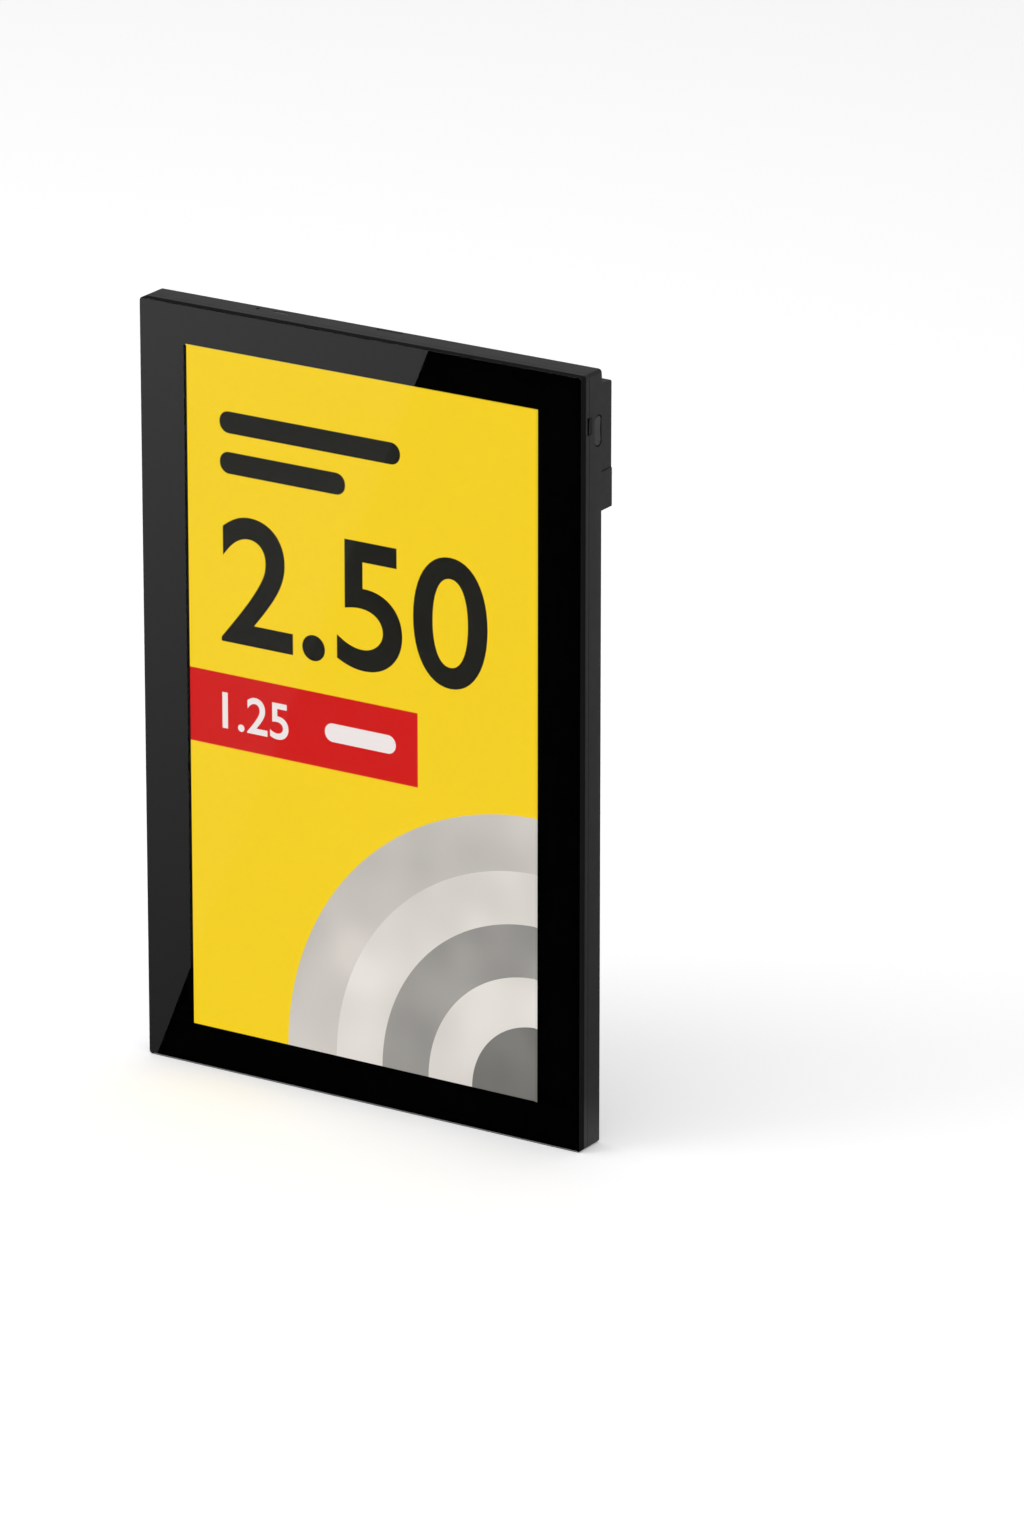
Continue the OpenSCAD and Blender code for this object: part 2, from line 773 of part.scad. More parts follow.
// Recess that takes the rear panel, square at the top and round at its lower corners
module panel_recess() {
    w = body_w - 2 * panel_side;
    plate(w, z_hump - panel_low, panel_r, y_panel, panel_t + cut, panel_low);
    block([-w / 2, w / 2], [y_panel, body_d + cut], [z_hump - panel_r - panel_gap, z_hump]);
}

// Features cut into the outside of the housing
module outer_cuts() {
    block([-x_side - cut, groove_depth - x_side], [y_seam - cut, y_seam + groove_w],
          [-cut, body_h - groove_top_drop]);
    tool_slot(y_seam - cut, tool_slot_w + cut);
    translate([x_side - scoop_depth + scoop_r, y_seam + groove_w / 2, z_tool_slot])
        cylinder(r = scoop_r, h = tool_slot_l);
    along_x(x_wall - cut, wall + 2 * cut) translate([button_y, z_button]) pill(button_l, button_w);
    block([x_side - side_pad_drop, x_side + cut], [body_d, total_d + cut],
          [z_hump + side_pad_h, z_ledge + saddle_rise + cut]);
    for (share = relief_shares) {
        block([x_of(share) - relief_w / 2, x_of(share) + relief_w / 2], [total_d - relief_d, total_d + cut],
              [z_hump - cut, z_hump + relief_h]);
    }
    for (share = notch_shares) translate([x_of(share), 0, 0]) rail_notch();
    translate([x_of(slot_share), body_d - slot_back, 0])
        lying_pill(slot_l, slot_w, body_h - slot_depth, slot_depth + cut);
    translate([x_of(pipe_share), pipe_y, 0])
        lying_pill(pipe_l, pipe_w, body_h - wall - cut, wall + 2 * cut);
    translate([x_of(sensor_share), pipe_y, body_h - wall - cut]) cylinder(r = sensor_r, h = wall + 2 * cut);
}

// Pockets in the top wall for the catches of the front frame
module catch_pockets() {
    for (share = tab_x_shares) {
        middle = share * body_w;
        block([middle - tab_w / 2 - small_gap, middle + tab_w / 2 + small_gap],
              [y_seam + tab_l - tab_nib - small_gap, y_seam + tab_l + small_gap],
              [body_h - wall - cut, body_h - wall + tab_nib_h + small_gap]);
    }
}

// Inside of the housing: main space, side chambers, bay walls and pillars
module housing_space() {
    difference() {
        sheet(body_w - 2 * wall, [wall, body_h - wall], y_seam - cut, y_wall - y_seam + cut);
        block([-x_bay_wall, x_bay_wall], [y_bay_front, y_wall + cut],
              [z_bay - bay_wall, z_bay_top + bay_wall]);
        at_bosses() rod_y(pillar_r, y_boss_end, pillar_h + cut);
        at_board_holes() rod_y(board_pillar_r, y_board_back, standoff_h + cut);
    }
    for (side = [-1, 1]) {
        low = side > 0 ? x_bay_wall : -x_wall;
        block([low, low + chamber_w], [y_wall - small_gap, y_chamber_end], [z_chamber, z_chamber_top]);
    }
}

module rear_housing() color([0.19, 0.19, 0.19]) placed() difference() {
    housing_form();
    housing_space();
    bay_cuts();
    panel_recess();
    outer_cuts();
    catch_pockets();
    at_bosses() {
        rod_y(head_r + head_gap, y_head, panel_t + head_well + cut);
        rod_y(screw_r + 2 * screw_gap, y_boss_end - cut, y_head - y_boss_end + 2 * cut);
    }
    at_board_holes() rod_y(board_screw_r + screw_gap, y_board_back - cut, board_thread_l + screw_gap + cut);
}

// Flat panel in the rear recess, with a blank mark field
module rear_panel() color([0.09, 0.09, 0.09]) placed() {
    w = body_w - 2 * (panel_side + panel_gap);
    low = panel_low + panel_gap;
    high = z_hump - small_gap;
    difference() {
        union() {
            plate(w, high - low, panel_r, y_panel, panel_t, low);
            block([-w / 2, w / 2], [y_panel, body_d], [high - 2 * panel_r, high]);
        }
        translate([panel_mark_inset + panel_mark_w / 2 - w / 2, 0, 0])
            plate(panel_mark_w, panel_mark_h, panel_r / 2, body_d - mark_depth, cut, low + panel_mark_low);
    }
}

// Screws under the rear panel that hold the housing to the front frame
module case_screws() color([0.5, 0.5, 0.52]) placed() at_bosses() {
    rod_y(head_r, y_head, head_t);
    rod_y(screw_r, y_head - thread_l, thread_l);
}

module main_board() color([0.05, 0.35, 0.15]) placed() difference() {
    sheet(board_w, [z_board, z_board_top], y_board, board_t);
    at_board_holes() rod_y(board_screw_r + 2 * screw_gap, y_board - cut, board_t + 2 * cut);
}

// Screws that hold the main board on its pillars
module board_screws() color([0.6, 0.6, 0.62]) placed() at_board_holes() {
    rod_y(board_head_r, y_board - board_head_t, board_head_t);
    rod_y(board_screw_r, y_board, board_t + board_thread_l - screw_gap);
}

// Tin can over the radio part of the main board, open towards the board
module shield_can() color([0.75, 0.75, 0.77]) placed() {
    h = standoff_h - parts_gap;
    x = [shield_x - shield_w / 2, shield_x + shield_w / 2];
    z = [z_board + shield_z - shield_h / 2, z_board + shield_z + shield_h / 2];
    difference() {
        block(x, [y_board_back, y_board_back + h], z);
        block([x[0] + shield_t, x[1] - shield_t], [y_board_back - cut, y_board_back + h - shield_t],
              [z[0] + shield_t, z[1] - shield_t]);
    }
}

module board_chips() color([0.1, 0.1, 0.12]) placed() for (chip = chip_table) {
    h = (standoff_h - parts_gap) * chip[4];
    block([chip[0] - chip[2] / 2, chip[0] + chip[2] / 2], [y_board_back, y_board_back + h],
          [z_board + chip[1] - chip[3] / 2, z_board + chip[1] + chip[3] / 2]);
}

// Connector on the front of the main board that takes the display ribbon
module display_connector() color([0.85, 0.82, 0.75]) placed() {
    block([-flex_w / 2 - small_gap, flex_w / 2 + small_gap], [y_board - connector_h, y_board],
          [z_connector_top - connector_l, z_connector_top]);
}

// Leaf springs that reach through the wall of the bay to the pads of the battery module
y_spring_tip = y_bay + pad_d;
spring_path = [
    [y_board_back + spring_t / 2, z_board_top - spring_foot],
    [y_board_back + spring_t / 2, z_board_top],
    [y_spring_tip - pad_d / 2, z_bay - spring_t],
    [y_spring_tip - pad_d / 4, z_bay + bay_gap - spring_t],
    [y_spring_tip, z_bay]
];

module battery_springs() color([0.85, 0.7, 0.35]) placed() at_springs() {
    along_x(-spring_w / 2, spring_w) polygon(strip(spring_path, spring_t));
}

// Aerial printed on a film on the rear wall of the left chamber
module antenna_film() color([0.8, 0.6, 0.3]) placed() {
    middle = -x_wall + chamber_w / 2;
    half = chamber_w / 2 - antenna_side;
    block([middle - half, middle + half], [y_chamber_end - antenna_t, y_chamber_end],
          [z_chamber + antenna_margin, z_chamber_top - antenna_margin]);
}

// Thin cable from the aerial film to its socket on the main board
x_cable = -boss_x - pillar_r - cable_d;
z_cable_top = z_chamber + antenna_margin + cable_d;
z_cable_low = z_board_top - cable_drop;
x_socket = -board_w / 2 + socket_in;
cable_points = [
    [x_cable, y_chamber_end - antenna_t, z_cable_top],
    [x_cable, y_cable, z_cable_top],
    [x_cable, y_cable, z_cable_low],
    [x_socket, y_cable, z_cable_low]
];

module antenna_cable() color([0.12, 0.12, 0.12]) placed() {
    for (i = [0 : len(cable_points) - 2]) {
        a = cable_points[i];
        v = cable_points[i + 1] - a;
        turn = [0, acos(v[2] / norm(v)), atan2(v[1], v[0])];
        translate(a) rotate(turn) cylinder(r = cable_r, h = norm(v));
        if (i > 0) translate(a) sphere(cable_r);
    }
}

module antenna_socket() color([0.8, 0.65, 0.3]) placed() {
    block([x_socket, x_socket + socket_w], [y_board_back, y_board_back + socket_t],
          [z_cable_low - socket_w / 2, z_cable_low + socket_w / 2]);
}

// Small board upright against the wall of the bay, which carries the push switch
module button_board() color([0.05, 0.35, 0.15]) placed() {
    block([x_bay_wall, x_switch], [button_y - button_board_d / 2, button_y + button_board_d / 2],
          [z_button - button_board_h / 2, z_button + button_board_h / 2]);
}

// Ribbon from the button board down to the main board
module button_flex() color([0.75, 0.45, 0.1]) placed() {
    x_out = x_wall - ribbon_wall_gap;
    y_low = y_board - flex_t;
    z_turn = z_board_top - ribbon_low_z;
    z_tab = z_button - button_board_h / 2;
    block([board_w / 2 - ribbon_reach, x_out], [y_low, y_board], [z_turn, z_turn + ribbon_w]);
    block([x_out - ribbon_w, x_out], [y_low, y_board], [z_turn, z_tab + ribbon_w]);
    block([x_switch, x_out], [y_low, y_board], [z_tab, z_tab + ribbon_w]);
    block([x_switch, x_switch + flex_t], [y_low, button_y], [z_tab, z_tab + ribbon_w]);
}

module tact_switch() color([0.2, 0.2, 0.22]) placed() difference() {
    block([x_switch, x_switch_face], [button_y - switch_w / 2, button_y + switch_w / 2],
          [z_button - switch_w / 2, z_button + switch_w / 2]);
    translate([0, button_y, z_button])
        rod_x(plunger_r + plunger_gap, x_switch_face - plunger_well, plunger_well + cut);
}

module switch_plunger() color([0.85, 0.85, 0.8]) placed() {
    translate([0, button_y, z_button]) rod_x(plunger_r, x_plunger_tip - plunger_l, plunger_l);
}

// Push button: dished cap in the side wall, flange behind the wall and stem to the switch
module side_button() color([0.24, 0.24, 0.24]) placed() {
    x_cap = x_side - button_recess;
    x_flange = x_wall - flange_gap;
    difference() {
        along_x(x_flange - flange_t, x_cap - x_flange + flange_t)
            translate([button_y, z_button]) pill(cap_l, cap_w);
        translate([x_cap - dish_depth + dish_r, button_y + button_w, z_button]) rotate([90, 0, 0])
            cylinder(r = dish_r, h = 2 * button_w, $fn = 96);
    }
    along_x(x_flange - flange_t, flange_t) translate([button_y, z_button])
        pill(button_l + 2 * flange_margin, button_w + 2 * flange_margin);
    translate([0, button_y, z_button]) rod_x(stem_r, x_plunger_tip, x_flange - flange_t - x_plunger_tip);
}

// Strip board under the top wall with the lamp and the light sensor
z_led_board = body_h - wall - led_board_h - small_gap;

module led_board() color([0.05, 0.35, 0.15]) placed() {
    block([x_of(sensor_share) - led_board_margin, x_of(pipe_share) + led_board_margin],
          [y_wall - board_t, y_wall], [z_led_board, z_led_board + led_board_h]);
}

module lamp_part(share) {
    top = z_led_board + led_board_h;
    block([x_of(share) - lamp_w / 2, x_of(share) + lamp_w / 2], [y_wall - board_t - lamp_t, y_wall - board_t],
          [top - lamp_h, top]);
}

module status_led() color([0.9, 0.9, 0.8]) placed() lamp_part(pipe_share);

module light_sensor() color([0.15, 0.15, 0.2]) placed() lamp_part(sensor_share);

// Clear light pipe in its oval window in the top face
module light_pipe() color([0.85, 0.88, 0.9]) placed() translate([x_of(pipe_share), pipe_y, 0]) {
    lying_pill(pipe_l, pipe_w, body_h - wall, wall - pipe_recess);
}

// Minus sign let into the door, or a plus sign when it is crossed
module polarity_sign(crossed) {
    half = sign_size / 2;
    thin = sign_line / 2;
    block([-half, half], [total_d - mark_depth, total_d + cut], [-thin, thin]);
    if (crossed) block([-thin, thin], [total_d - mark_depth, total_d + cut], [-half, half]);
}

// Battery door, the outer face of the lift-out battery module
module battery_door() color([0.1, 0.1, 0.1]) placed() difference() {
    plate(door_w, z_door_top - z_door, door_r, y_door, door_t, z_door);
    translate([door_w / 2 - door_mark_inset - door_mark_w / 2, 0, 0])
        plate(door_mark_w, door_mark_h, door_r / 4, total_d - mark_depth, cut, z_door_mark);
    for (up = [0, 1]) translate([sign_inset - door_w / 2, 0, z_sign + up * sign_step]) polarity_sign(up == 1);
}

// Tray on the inside of the door that holds the cells
module battery_tray() color([0.16, 0.16, 0.18]) placed() difference() {
    sheet(tray_out_w, [z_tray_out, z_tray_out_top], y_tray_out, y_door - y_tray_out);
    sheet(tray_out_w - 2 * cell_tray_t, [z_tray_out + cell_tray_t, z_tray_out_top - cell_tray_t],
          y_tray_out + cell_tray_floor, y_door - y_tray_out);
    at_springs() block([-pad_w / 2, pad_w / 2], [y_tray_out + small_gap, y_tray_out + small_gap + pad_d],
                       [z_tray_out - cut, z_tray_out + pad_t]);
}

// Two flat cells, side by side in the tray
module battery_cells() color([0.25, 0.45, 0.65]) placed() for (side = [-1, 1]) {
    translate([side * (cell_gap_w + cell_w) / 2, 0, 0])
        plate(cell_w, z_cells_top - z_cells, cell_corner_r, y_cell, cell_t, z_cells);
}

module cell_board() color([0.05, 0.35, 0.15]) placed() {
    middle = (z_cells + z_cells_top) / 2;
    sheet(cell_board_w, [middle - cell_board_h / 2, middle + cell_board_h / 2], y_cell, board_t);
}

// Nickel strips from the cells to the cell board
module cell_tabs() color([0.75, 0.75, 0.7]) placed() for (side = [-1, 1], up = [-1, 1]) {
    middle = (z_cells + z_cells_top) / 2 + up * tab_strip_z;
    y = y_cell + board_t;
    near = cell_board_w / 2 - tab_strip_lap;
    far = cell_gap_w / 2;
    block([side > 0 ? near : -far, side > 0 ? far : -near], [y, y + tab_strip_t],
          [middle - tab_strip_w / 2, middle + tab_strip_w / 2]);
}

// Contact pads let into the lower edge of the tray
module battery_pads() color([0.85, 0.7, 0.35]) placed() at_springs() {
    block([-pad_w / 2, pad_w / 2], [y_tray_out + small_gap, y_tray_out + small_gap + pad_d],
          [z_tray_out, z_tray_out + pad_t]);
}

cover_glass();
border_mask();
lens_tape();
optical_adhesive();
front_polariser();
colour_filter_glass();
tft_glass();
driver_chips();
rear_polariser();
diffuser_film();
prism_film();
light_guide();
led_bar();
reflector_film();
mould_frame();
backlight_tray();
display_flex();
front_frame();
rear_housing();
rear_panel();
case_screws();
main_board();
shield_can();
board_chips();
display_connector();
battery_springs();
board_screws();
antenna_film();
antenna_cable();
antenna_socket();
button_board();
button_flex();
tact_switch();
switch_plunger();
side_button();
led_board();
status_led();
light_sensor();
light_pipe();
battery_door();
battery_tray();
battery_cells();
cell_board();
cell_tabs();
battery_pads();
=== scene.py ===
"""Looks, studio and camera for a portrait shelf label with a glass front and a battery module."""

import sys

import json
import logging
import math
from dataclasses import dataclass, field
from enum import Enum
from typing import Any, ClassVar, Mapping, Sequence

import bmesh
import bpy
from mathutils import Matrix, Vector

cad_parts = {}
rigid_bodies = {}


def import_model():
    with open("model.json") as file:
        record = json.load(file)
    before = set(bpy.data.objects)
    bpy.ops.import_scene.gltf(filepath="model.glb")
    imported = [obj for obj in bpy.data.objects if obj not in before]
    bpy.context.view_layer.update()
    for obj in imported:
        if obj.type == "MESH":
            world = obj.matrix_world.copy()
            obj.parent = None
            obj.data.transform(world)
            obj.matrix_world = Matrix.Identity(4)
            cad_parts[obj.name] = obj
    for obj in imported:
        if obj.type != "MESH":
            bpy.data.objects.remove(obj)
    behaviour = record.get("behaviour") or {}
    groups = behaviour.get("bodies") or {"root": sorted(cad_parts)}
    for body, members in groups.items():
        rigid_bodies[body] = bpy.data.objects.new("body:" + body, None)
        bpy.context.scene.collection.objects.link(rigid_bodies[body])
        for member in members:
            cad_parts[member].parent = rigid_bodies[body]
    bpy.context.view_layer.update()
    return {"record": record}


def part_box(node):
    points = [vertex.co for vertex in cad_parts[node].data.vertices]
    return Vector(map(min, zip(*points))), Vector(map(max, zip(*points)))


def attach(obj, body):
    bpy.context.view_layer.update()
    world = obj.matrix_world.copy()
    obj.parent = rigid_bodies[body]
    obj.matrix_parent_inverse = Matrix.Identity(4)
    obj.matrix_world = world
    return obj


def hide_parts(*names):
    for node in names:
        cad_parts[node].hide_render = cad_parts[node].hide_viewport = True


MM = 0.001
LOG = logging.getLogger("shelf_label")
# The lit window behind the glass, from the label's middle plane and from its lower edge.
WINDOW_HALF_WIDTH_MM = 63.8
WINDOW_BOTTOM_MM = 13.0
WINDOW_TOP_MM = 235.2
# Noise seldom passes these values, so they are taken as its lowest and highest.
NOISE_LOW = 0.3
NOISE_HIGH = 0.7
# A face counts as square to an axis from this much of its normal on.
SQUARE_ON = 0.99
# Plain white light, linear RGBA.
WHITE_LIGHT = (1.0, 1.0, 1.0, 1.0)
# Points closer than this to a cutting plane, or to each other, count as one place, in metres.
CUT_REACH = 1e-7
# Points this close to a flat face count as lying on it.
NEAR_MM = 0.01
# Faces that meet at more than this angle keep a sharp edge between them.
SHADING_DEGREES = 32.0
# Socket numbers of a Mix node that mixes colours: both inputs and the output.
MIX_FIRST, MIX_SECOND, MIX_RESULT = 6, 7, 2


class Body(Enum):
    """The moving bodies of the label."""

    LABEL = "label_body"
    MODULE = "battery_module"
    BUTTON = "side_button"


class Lay(Enum):
    """Which way a drawn pattern runs, as the scale of its noise along each axis."""

    ALONG_X = (0.05, 1.0, 1.0)
    ALONG_Z = (1.0, 1.0, 0.05)


def linear(hex_colour: str) -> tuple[float, float, float, float]:
    """Turns an sRGB hex colour into linear RGBA.

    Args:
        hex_colour: Six hex digits, such as "f5d01b".

    Returns:
        The linear colour with an alpha of 1.
    """
    # The numbers of the curve are the sRGB standard's own.
    shares = [int(hex_colour[i : i + 2], 16) / 255 for i in (0, 2, 4)]
    curve = [s / 12.92 if s <= 0.04045 else ((s + 0.055) / 1.055) ** 2.4 for s in shares]
    return (*curve, 1.0)


def add_node(
    tree: bpy.types.NodeTree,
    kind: str,
    values: Mapping[Any, Any] | None = None,
    links: Mapping[Any, bpy.types.NodeSocket] | None = None,
    **settings: Any,
) -> bpy.types.Node:
    """Adds one node with its settings, socket values and links.

    Args:
        tree: The node tree that takes the node.
        kind: The node's type name.
        values: Constants by the name or number of their input.
        links: Output sockets by the name or number of the input they feed.
        **settings: Attributes of the node itself.

    Returns:
        The new node.
    """
    node = tree.nodes.new(kind)
    for name, value in settings.items():
        setattr(node, name, value)
    for key, value in (values or {}).items():
        node.inputs[key].default_value = value
    for key, source in (links or {}).items():
        tree.links.new(source, node.inputs[key])
    return node


@dataclass(frozen=True)
class Finish:
    """One real material and how its surface was made."""

    name: str

    def build(self) -> bpy.types.Material:
        """Makes the Blender material, once for each name.

        Returns:
            The material.
        """
        found = bpy.data.materials.get(self.name)
        if found is not None:
            return found
        material = bpy.data.materials.new(self.name)
        material.use_nodes = True
        tree = material.node_tree
        tree.nodes.clear()
        shader = self.shader(tree, add_node(tree, "ShaderNodeTexCoord").outputs["Object"])
        add_node(tree, "ShaderNodeOutputMaterial", links={"Surface": shader.outputs[0]})
        return material

    def shader(self, tree: bpy.types.NodeTree, place: bpy.types.NodeSocket) -> bpy.types.Node:
        """Adds the surface shader.

        Args:
            tree: The material's node tree.
            place: Object coordinates, in metres.

        Returns:
            The shader node that feeds the output.
        """
        raise NotImplementedError


def speckle(
    tree: bpy.types.NodeTree,
    place: bpy.types.NodeSocket,
    size_mm: float,
    low: float = 0.0,
    high: float = 1.0,
    detail: float = 2.0,
) -> bpy.types.NodeSocket:
    """Adds noise of a real size, stretched between two values.

    Args:
        tree: The material's node tree.
        place: Coordinates in metres.
        size_mm: Distance between the specks.
        low: Value where the noise is low.
        high: Value where the noise is high.
        detail: How many finer layers the noise has.

    Returns:
        The value socket.
    """
    scale = {"Scale": 1 / (size_mm * MM), "Detail": detail}
    noise = add_node(tree, "ShaderNodeTexNoise", scale, {"Vector": place})
    spread = {"From Min": NOISE_LOW, "From Max": NOISE_HIGH, "To Min": low, "To Max": high}
    stretched = add_node(tree, "ShaderNodeMapRange", spread, {"Value": noise.outputs["Fac"]})
    return stretched.outputs["Result"]


@dataclass(frozen=True)
class MouldedPlastic(Finish):
    """Injection-moulded plastic, whose mould was spark-eroded or polished."""

    colour: str
    mottled: str
    roughness: float
    grain_mm: float
    grain_depth_mm: float
    ior: float = 1.5
    specular: float = 0.5
    flow_mm: float = 22.0
    gloss_mm: float = 5.0
    gloss_swing: float = 0.03
    grain_strength: float = 0.6
    grain_detail: float = 3.0

    def shader(self, tree: bpy.types.NodeTree, place: bpy.types.NodeSocket) -> bpy.types.Node:
        """Adds a plastic with a fine grain, faint flow mottling and slightly uneven gloss.

        Args:
            tree: The material's node tree.
            place: Object coordinates, in metres.

        Returns:
            The shader node that feeds the output.
        """
        flow = speckle(tree, place, self.flow_mm)
        shades = {MIX_FIRST: linear(self.colour), MIX_SECOND: linear(self.mottled)}
        colour = add_node(tree, "ShaderNodeMix", shades, {"Factor": flow}, data_type="RGBA")
        shiny, dull = self.roughness - self.gloss_swing, self.roughness + self.gloss_swing
        gloss = speckle(tree, place, self.gloss_mm, shiny, dull)
        grain = speckle(tree, place, self.grain_mm, detail=self.grain_detail)
        relief = {"Strength": self.grain_strength, "Distance": self.grain_depth_mm * MM}
        bump = add_node(tree, "ShaderNodeBump", relief, {"Height": grain})
        return add_node(
            tree,
            "ShaderNodeBsdfPrincipled",
            {"IOR": self.ior, "Specular IOR Level": self.specular},
            {
                "Base Color": colour.outputs[MIX_RESULT],
                "Roughness": gloss,
                "Normal": bump.outputs["Normal"],
            },
        )


@dataclass(frozen=True)
class PrintedInk(Finish):
    """Ink or paint that is bonded to glass, so that it has no mirror of its own."""

    colour: str
    thin: str
    cover_mm: float = 12.0
    roughness: float = 0.7

    def shader(self, tree: bpy.types.NodeTree, place: bpy.types.NodeSocket) -> bpy.types.Node:
        """Adds an ink whose cover varies very slightly, as a squeegee leaves it.

        Args:
            tree: The material's node tree.
            place: Object coordinates, in metres.

        Returns:
            The shader node that feeds the output.
        """
        cover = speckle(tree, place, self.cover_mm)
        shades = {MIX_FIRST: linear(self.colour), MIX_SECOND: linear(self.thin)}
        colour = add_node(tree, "ShaderNodeMix", shades, {"Factor": cover}, data_type="RGBA")
        return add_node(
            tree,
            "ShaderNodeBsdfPrincipled",
            {"Roughness": self.roughness, "Specular IOR Level": 0.0},
            {"Base Color": colour.outputs[MIX_RESULT]},
        )


@dataclass(frozen=True)
class ClearSheet(Finish):
    """Polished clear glass or film. Faint wiping marks make its gloss a little uneven."""

    tint: str
    ior: float
    roughness: float = 0.0
    wiped_mm: float = 30.0
    wiped_dulling: float = 0.012

    def shader(self, tree: bpy.types.NodeTree, place: bpy.types.NodeSocket) -> bpy.types.Node:
        """Adds clear glass with a faint unevenness of its polish.

        Args:
            tree: The material's node tree.
            place: Object coordinates, in metres.

        Returns:
            The shader node that feeds the output.
        """
        dulled = self.roughness + self.wiped_dulling
        wiped = speckle(tree, place, self.wiped_mm, self.roughness, dulled)
        return add_node(
            tree,
            "ShaderNodeBsdfPrincipled",
            {"Base Color": linear(self.tint), "IOR": self.ior, "Transmission Weight": 1.0},
            {"Roughness": wiped},
        )


@dataclass(frozen=True)
class LitPicture(Finish):
    """One colour of the lit picture. The light behind it is very slightly uneven."""

    colour: str
    shaded: str
    cloud_mm: float = 60.0
    cloud_detail: float = 1.0
    glow: float = 1.0
    unlit: str = "050505"
    roughness: float = 0.6
    ior: float = 1.3

    def shader(self, tree: bpy.types.NodeTree, place: bpy.types.NodeSocket) -> bpy.types.Node:
        """Adds a dark face that gives out its own coloured light.

        Args:
            tree: The material's node tree.
            place: Object coordinates, in metres.

        Returns:
            The shader node that feeds the output.
        """
        cloud = speckle(tree, place, self.cloud_mm, detail=self.cloud_detail)
        shades = {MIX_FIRST: linear(self.colour), MIX_SECOND: linear(self.shaded)}
        light = add_node(tree, "ShaderNodeMix", shades, {"Factor": cloud}, data_type="RGBA")
        face = {"Base Color": linear(self.unlit), "Roughness": self.roughness, "IOR": self.ior}
        return add_node(
            tree,
            "ShaderNodeBsdfPrincipled",
            {**face, "Emission Strength": self.glow},
            {"Emission Color": light.outputs[MIX_RESULT]},
        )


@dataclass(frozen=True)
class SheetMetal(Finish):
    """Rolled, drawn or plated metal with fine lines along its length."""

    colour: str
    roughness: float
    line_mm: float = 0.3
    lay: Lay = Lay.ALONG_X
    gloss_swing: float = 0.08

    def shader(self, tree: bpy.types.NodeTree, place: bpy.types.NodeSocket) -> bpy.types.Node:
        """Adds a metal whose gloss varies in fine lines.

        Args:
            tree: The material's node tree.
            place: Object coordinates, in metres.

        Returns:
            The shader node that feeds the output.
        """
        stretched = add_node(
            tree, "ShaderNodeMapping", {"Scale": self.lay.value}, {"Vector": place}
        )
        shiny, dull = self.roughness - self.gloss_swing, self.roughness + self.gloss_swing
        lines = speckle(tree, stretched.outputs["Vector"], self.line_mm, shiny, dull)
        return add_node(
            tree,
            "ShaderNodeBsdfPrincipled",
            {"Base Color": linear(self.colour), "Metallic": 1.0},
            {"Roughness": lines},
        )


@dataclass(frozen=True)
class CoatedSheet(Finish):
    """Coated or printed sheet, such as solder resist over copper, film or shrink wrap.

    The pattern shows past the first of pattern_edge, and in full past the second.
    """

    colour: str
    pattern: str
    roughness: float
    pattern_mm: float = 1.2
    pattern_edge: tuple[float, float] = (0.35, 0.45)
    gloss_mm: float = 4.0
    gloss_swing: float = 0.05

    def shader(self, tree: bpy.types.NodeTree, place: bpy.types.NodeSocket) -> bpy.types.Node:
        """Adds a coat whose colour shows the pattern under it.

        Args:
            tree: The material's node tree.
            place: Object coordinates, in metres.

        Returns:
            The shader node that feeds the output.
        """
        cells = add_node(
            tree,
            "ShaderNodeTexVoronoi",
            {"Scale": 1 / (self.pattern_mm * MM)},
            {"Vector": place},
            feature="F1",
            distance="CHEBYCHEV",
        )
        steps = add_node(
            tree,
            "ShaderNodeMapRange",
            {"From Min": self.pattern_edge[0], "From Max": self.pattern_edge[1]},
            {"Value": cells.outputs["Distance"]},
        )
        shades = {MIX_FIRST: linear(self.colour), MIX_SECOND: linear(self.pattern)}
        drawn = {"Factor": steps.outputs["Result"]}
        colour = add_node(tree, "ShaderNodeMix", shades, drawn, data_type="RGBA")
        shiny, dull = self.roughness - self.gloss_swing, self.roughness + self.gloss_swing
        gloss = speckle(tree, place, self.gloss_mm, shiny, dull)
        links = {"Base Color": colour.outputs[MIX_RESULT], "Roughness": gloss}
        return add_node(tree, "ShaderNodeBsdfPrincipled", links=links)


# ABS/PC blend from a spark-eroded mould: a dead, even black with a soft highlight on its edges.
# The real grain of all mouldings here is 0.1 mm or finer, drawn at 0.3 to 0.9 mm so that it shows.
HOUSING = MouldedPlastic(
    "spark_eroded_abs",
    "1b1a1b",
    "1f1e1f",
    roughness=0.48,
    grain_mm=0.5,
    grain_depth_mm=0.012,
    specular=0.3,
)
# The same plastic from a polished mould: smoother and darker than the housing.
PANEL = MouldedPlastic(
    "polished_mould_abs",
    "0b0b0b",
    "0e0e0d",
    roughness=0.38,
    grain_mm=0.9,
    grain_depth_mm=0.003,
    specular=0.2,
)
# Button from its own smaller mould, rubbed smooth by fingers, so shinier. Its colour is a little
# lighter than the housing's: painted light, for its face that catches more light.
BUTTON = MouldedPlastic(
    "button_abs_painted_light",
    "2b2a2a",
    "2e2d2d",
    roughness=0.4,
    grain_mm=0.6,
    grain_depth_mm=0.004,
    specular=0.4,
)
# Battery tray, unpolished moulding inside the hump: dull and grainy.
TRAY = MouldedPlastic(
    "tray_abs", "232324", "28282a", roughness=0.6, grain_mm=0.6, grain_depth_mm=0.02
)
# White nylon and PBT mouldings of lamps, connectors and the backlight's frame: a warm, soft white.
WHITE_MOULDING = MouldedPlastic(
    "white_nylon", "dcdad0", "e3e1d8", roughness=0.5, grain_mm=0.8, grain_depth_mm=0.01
)
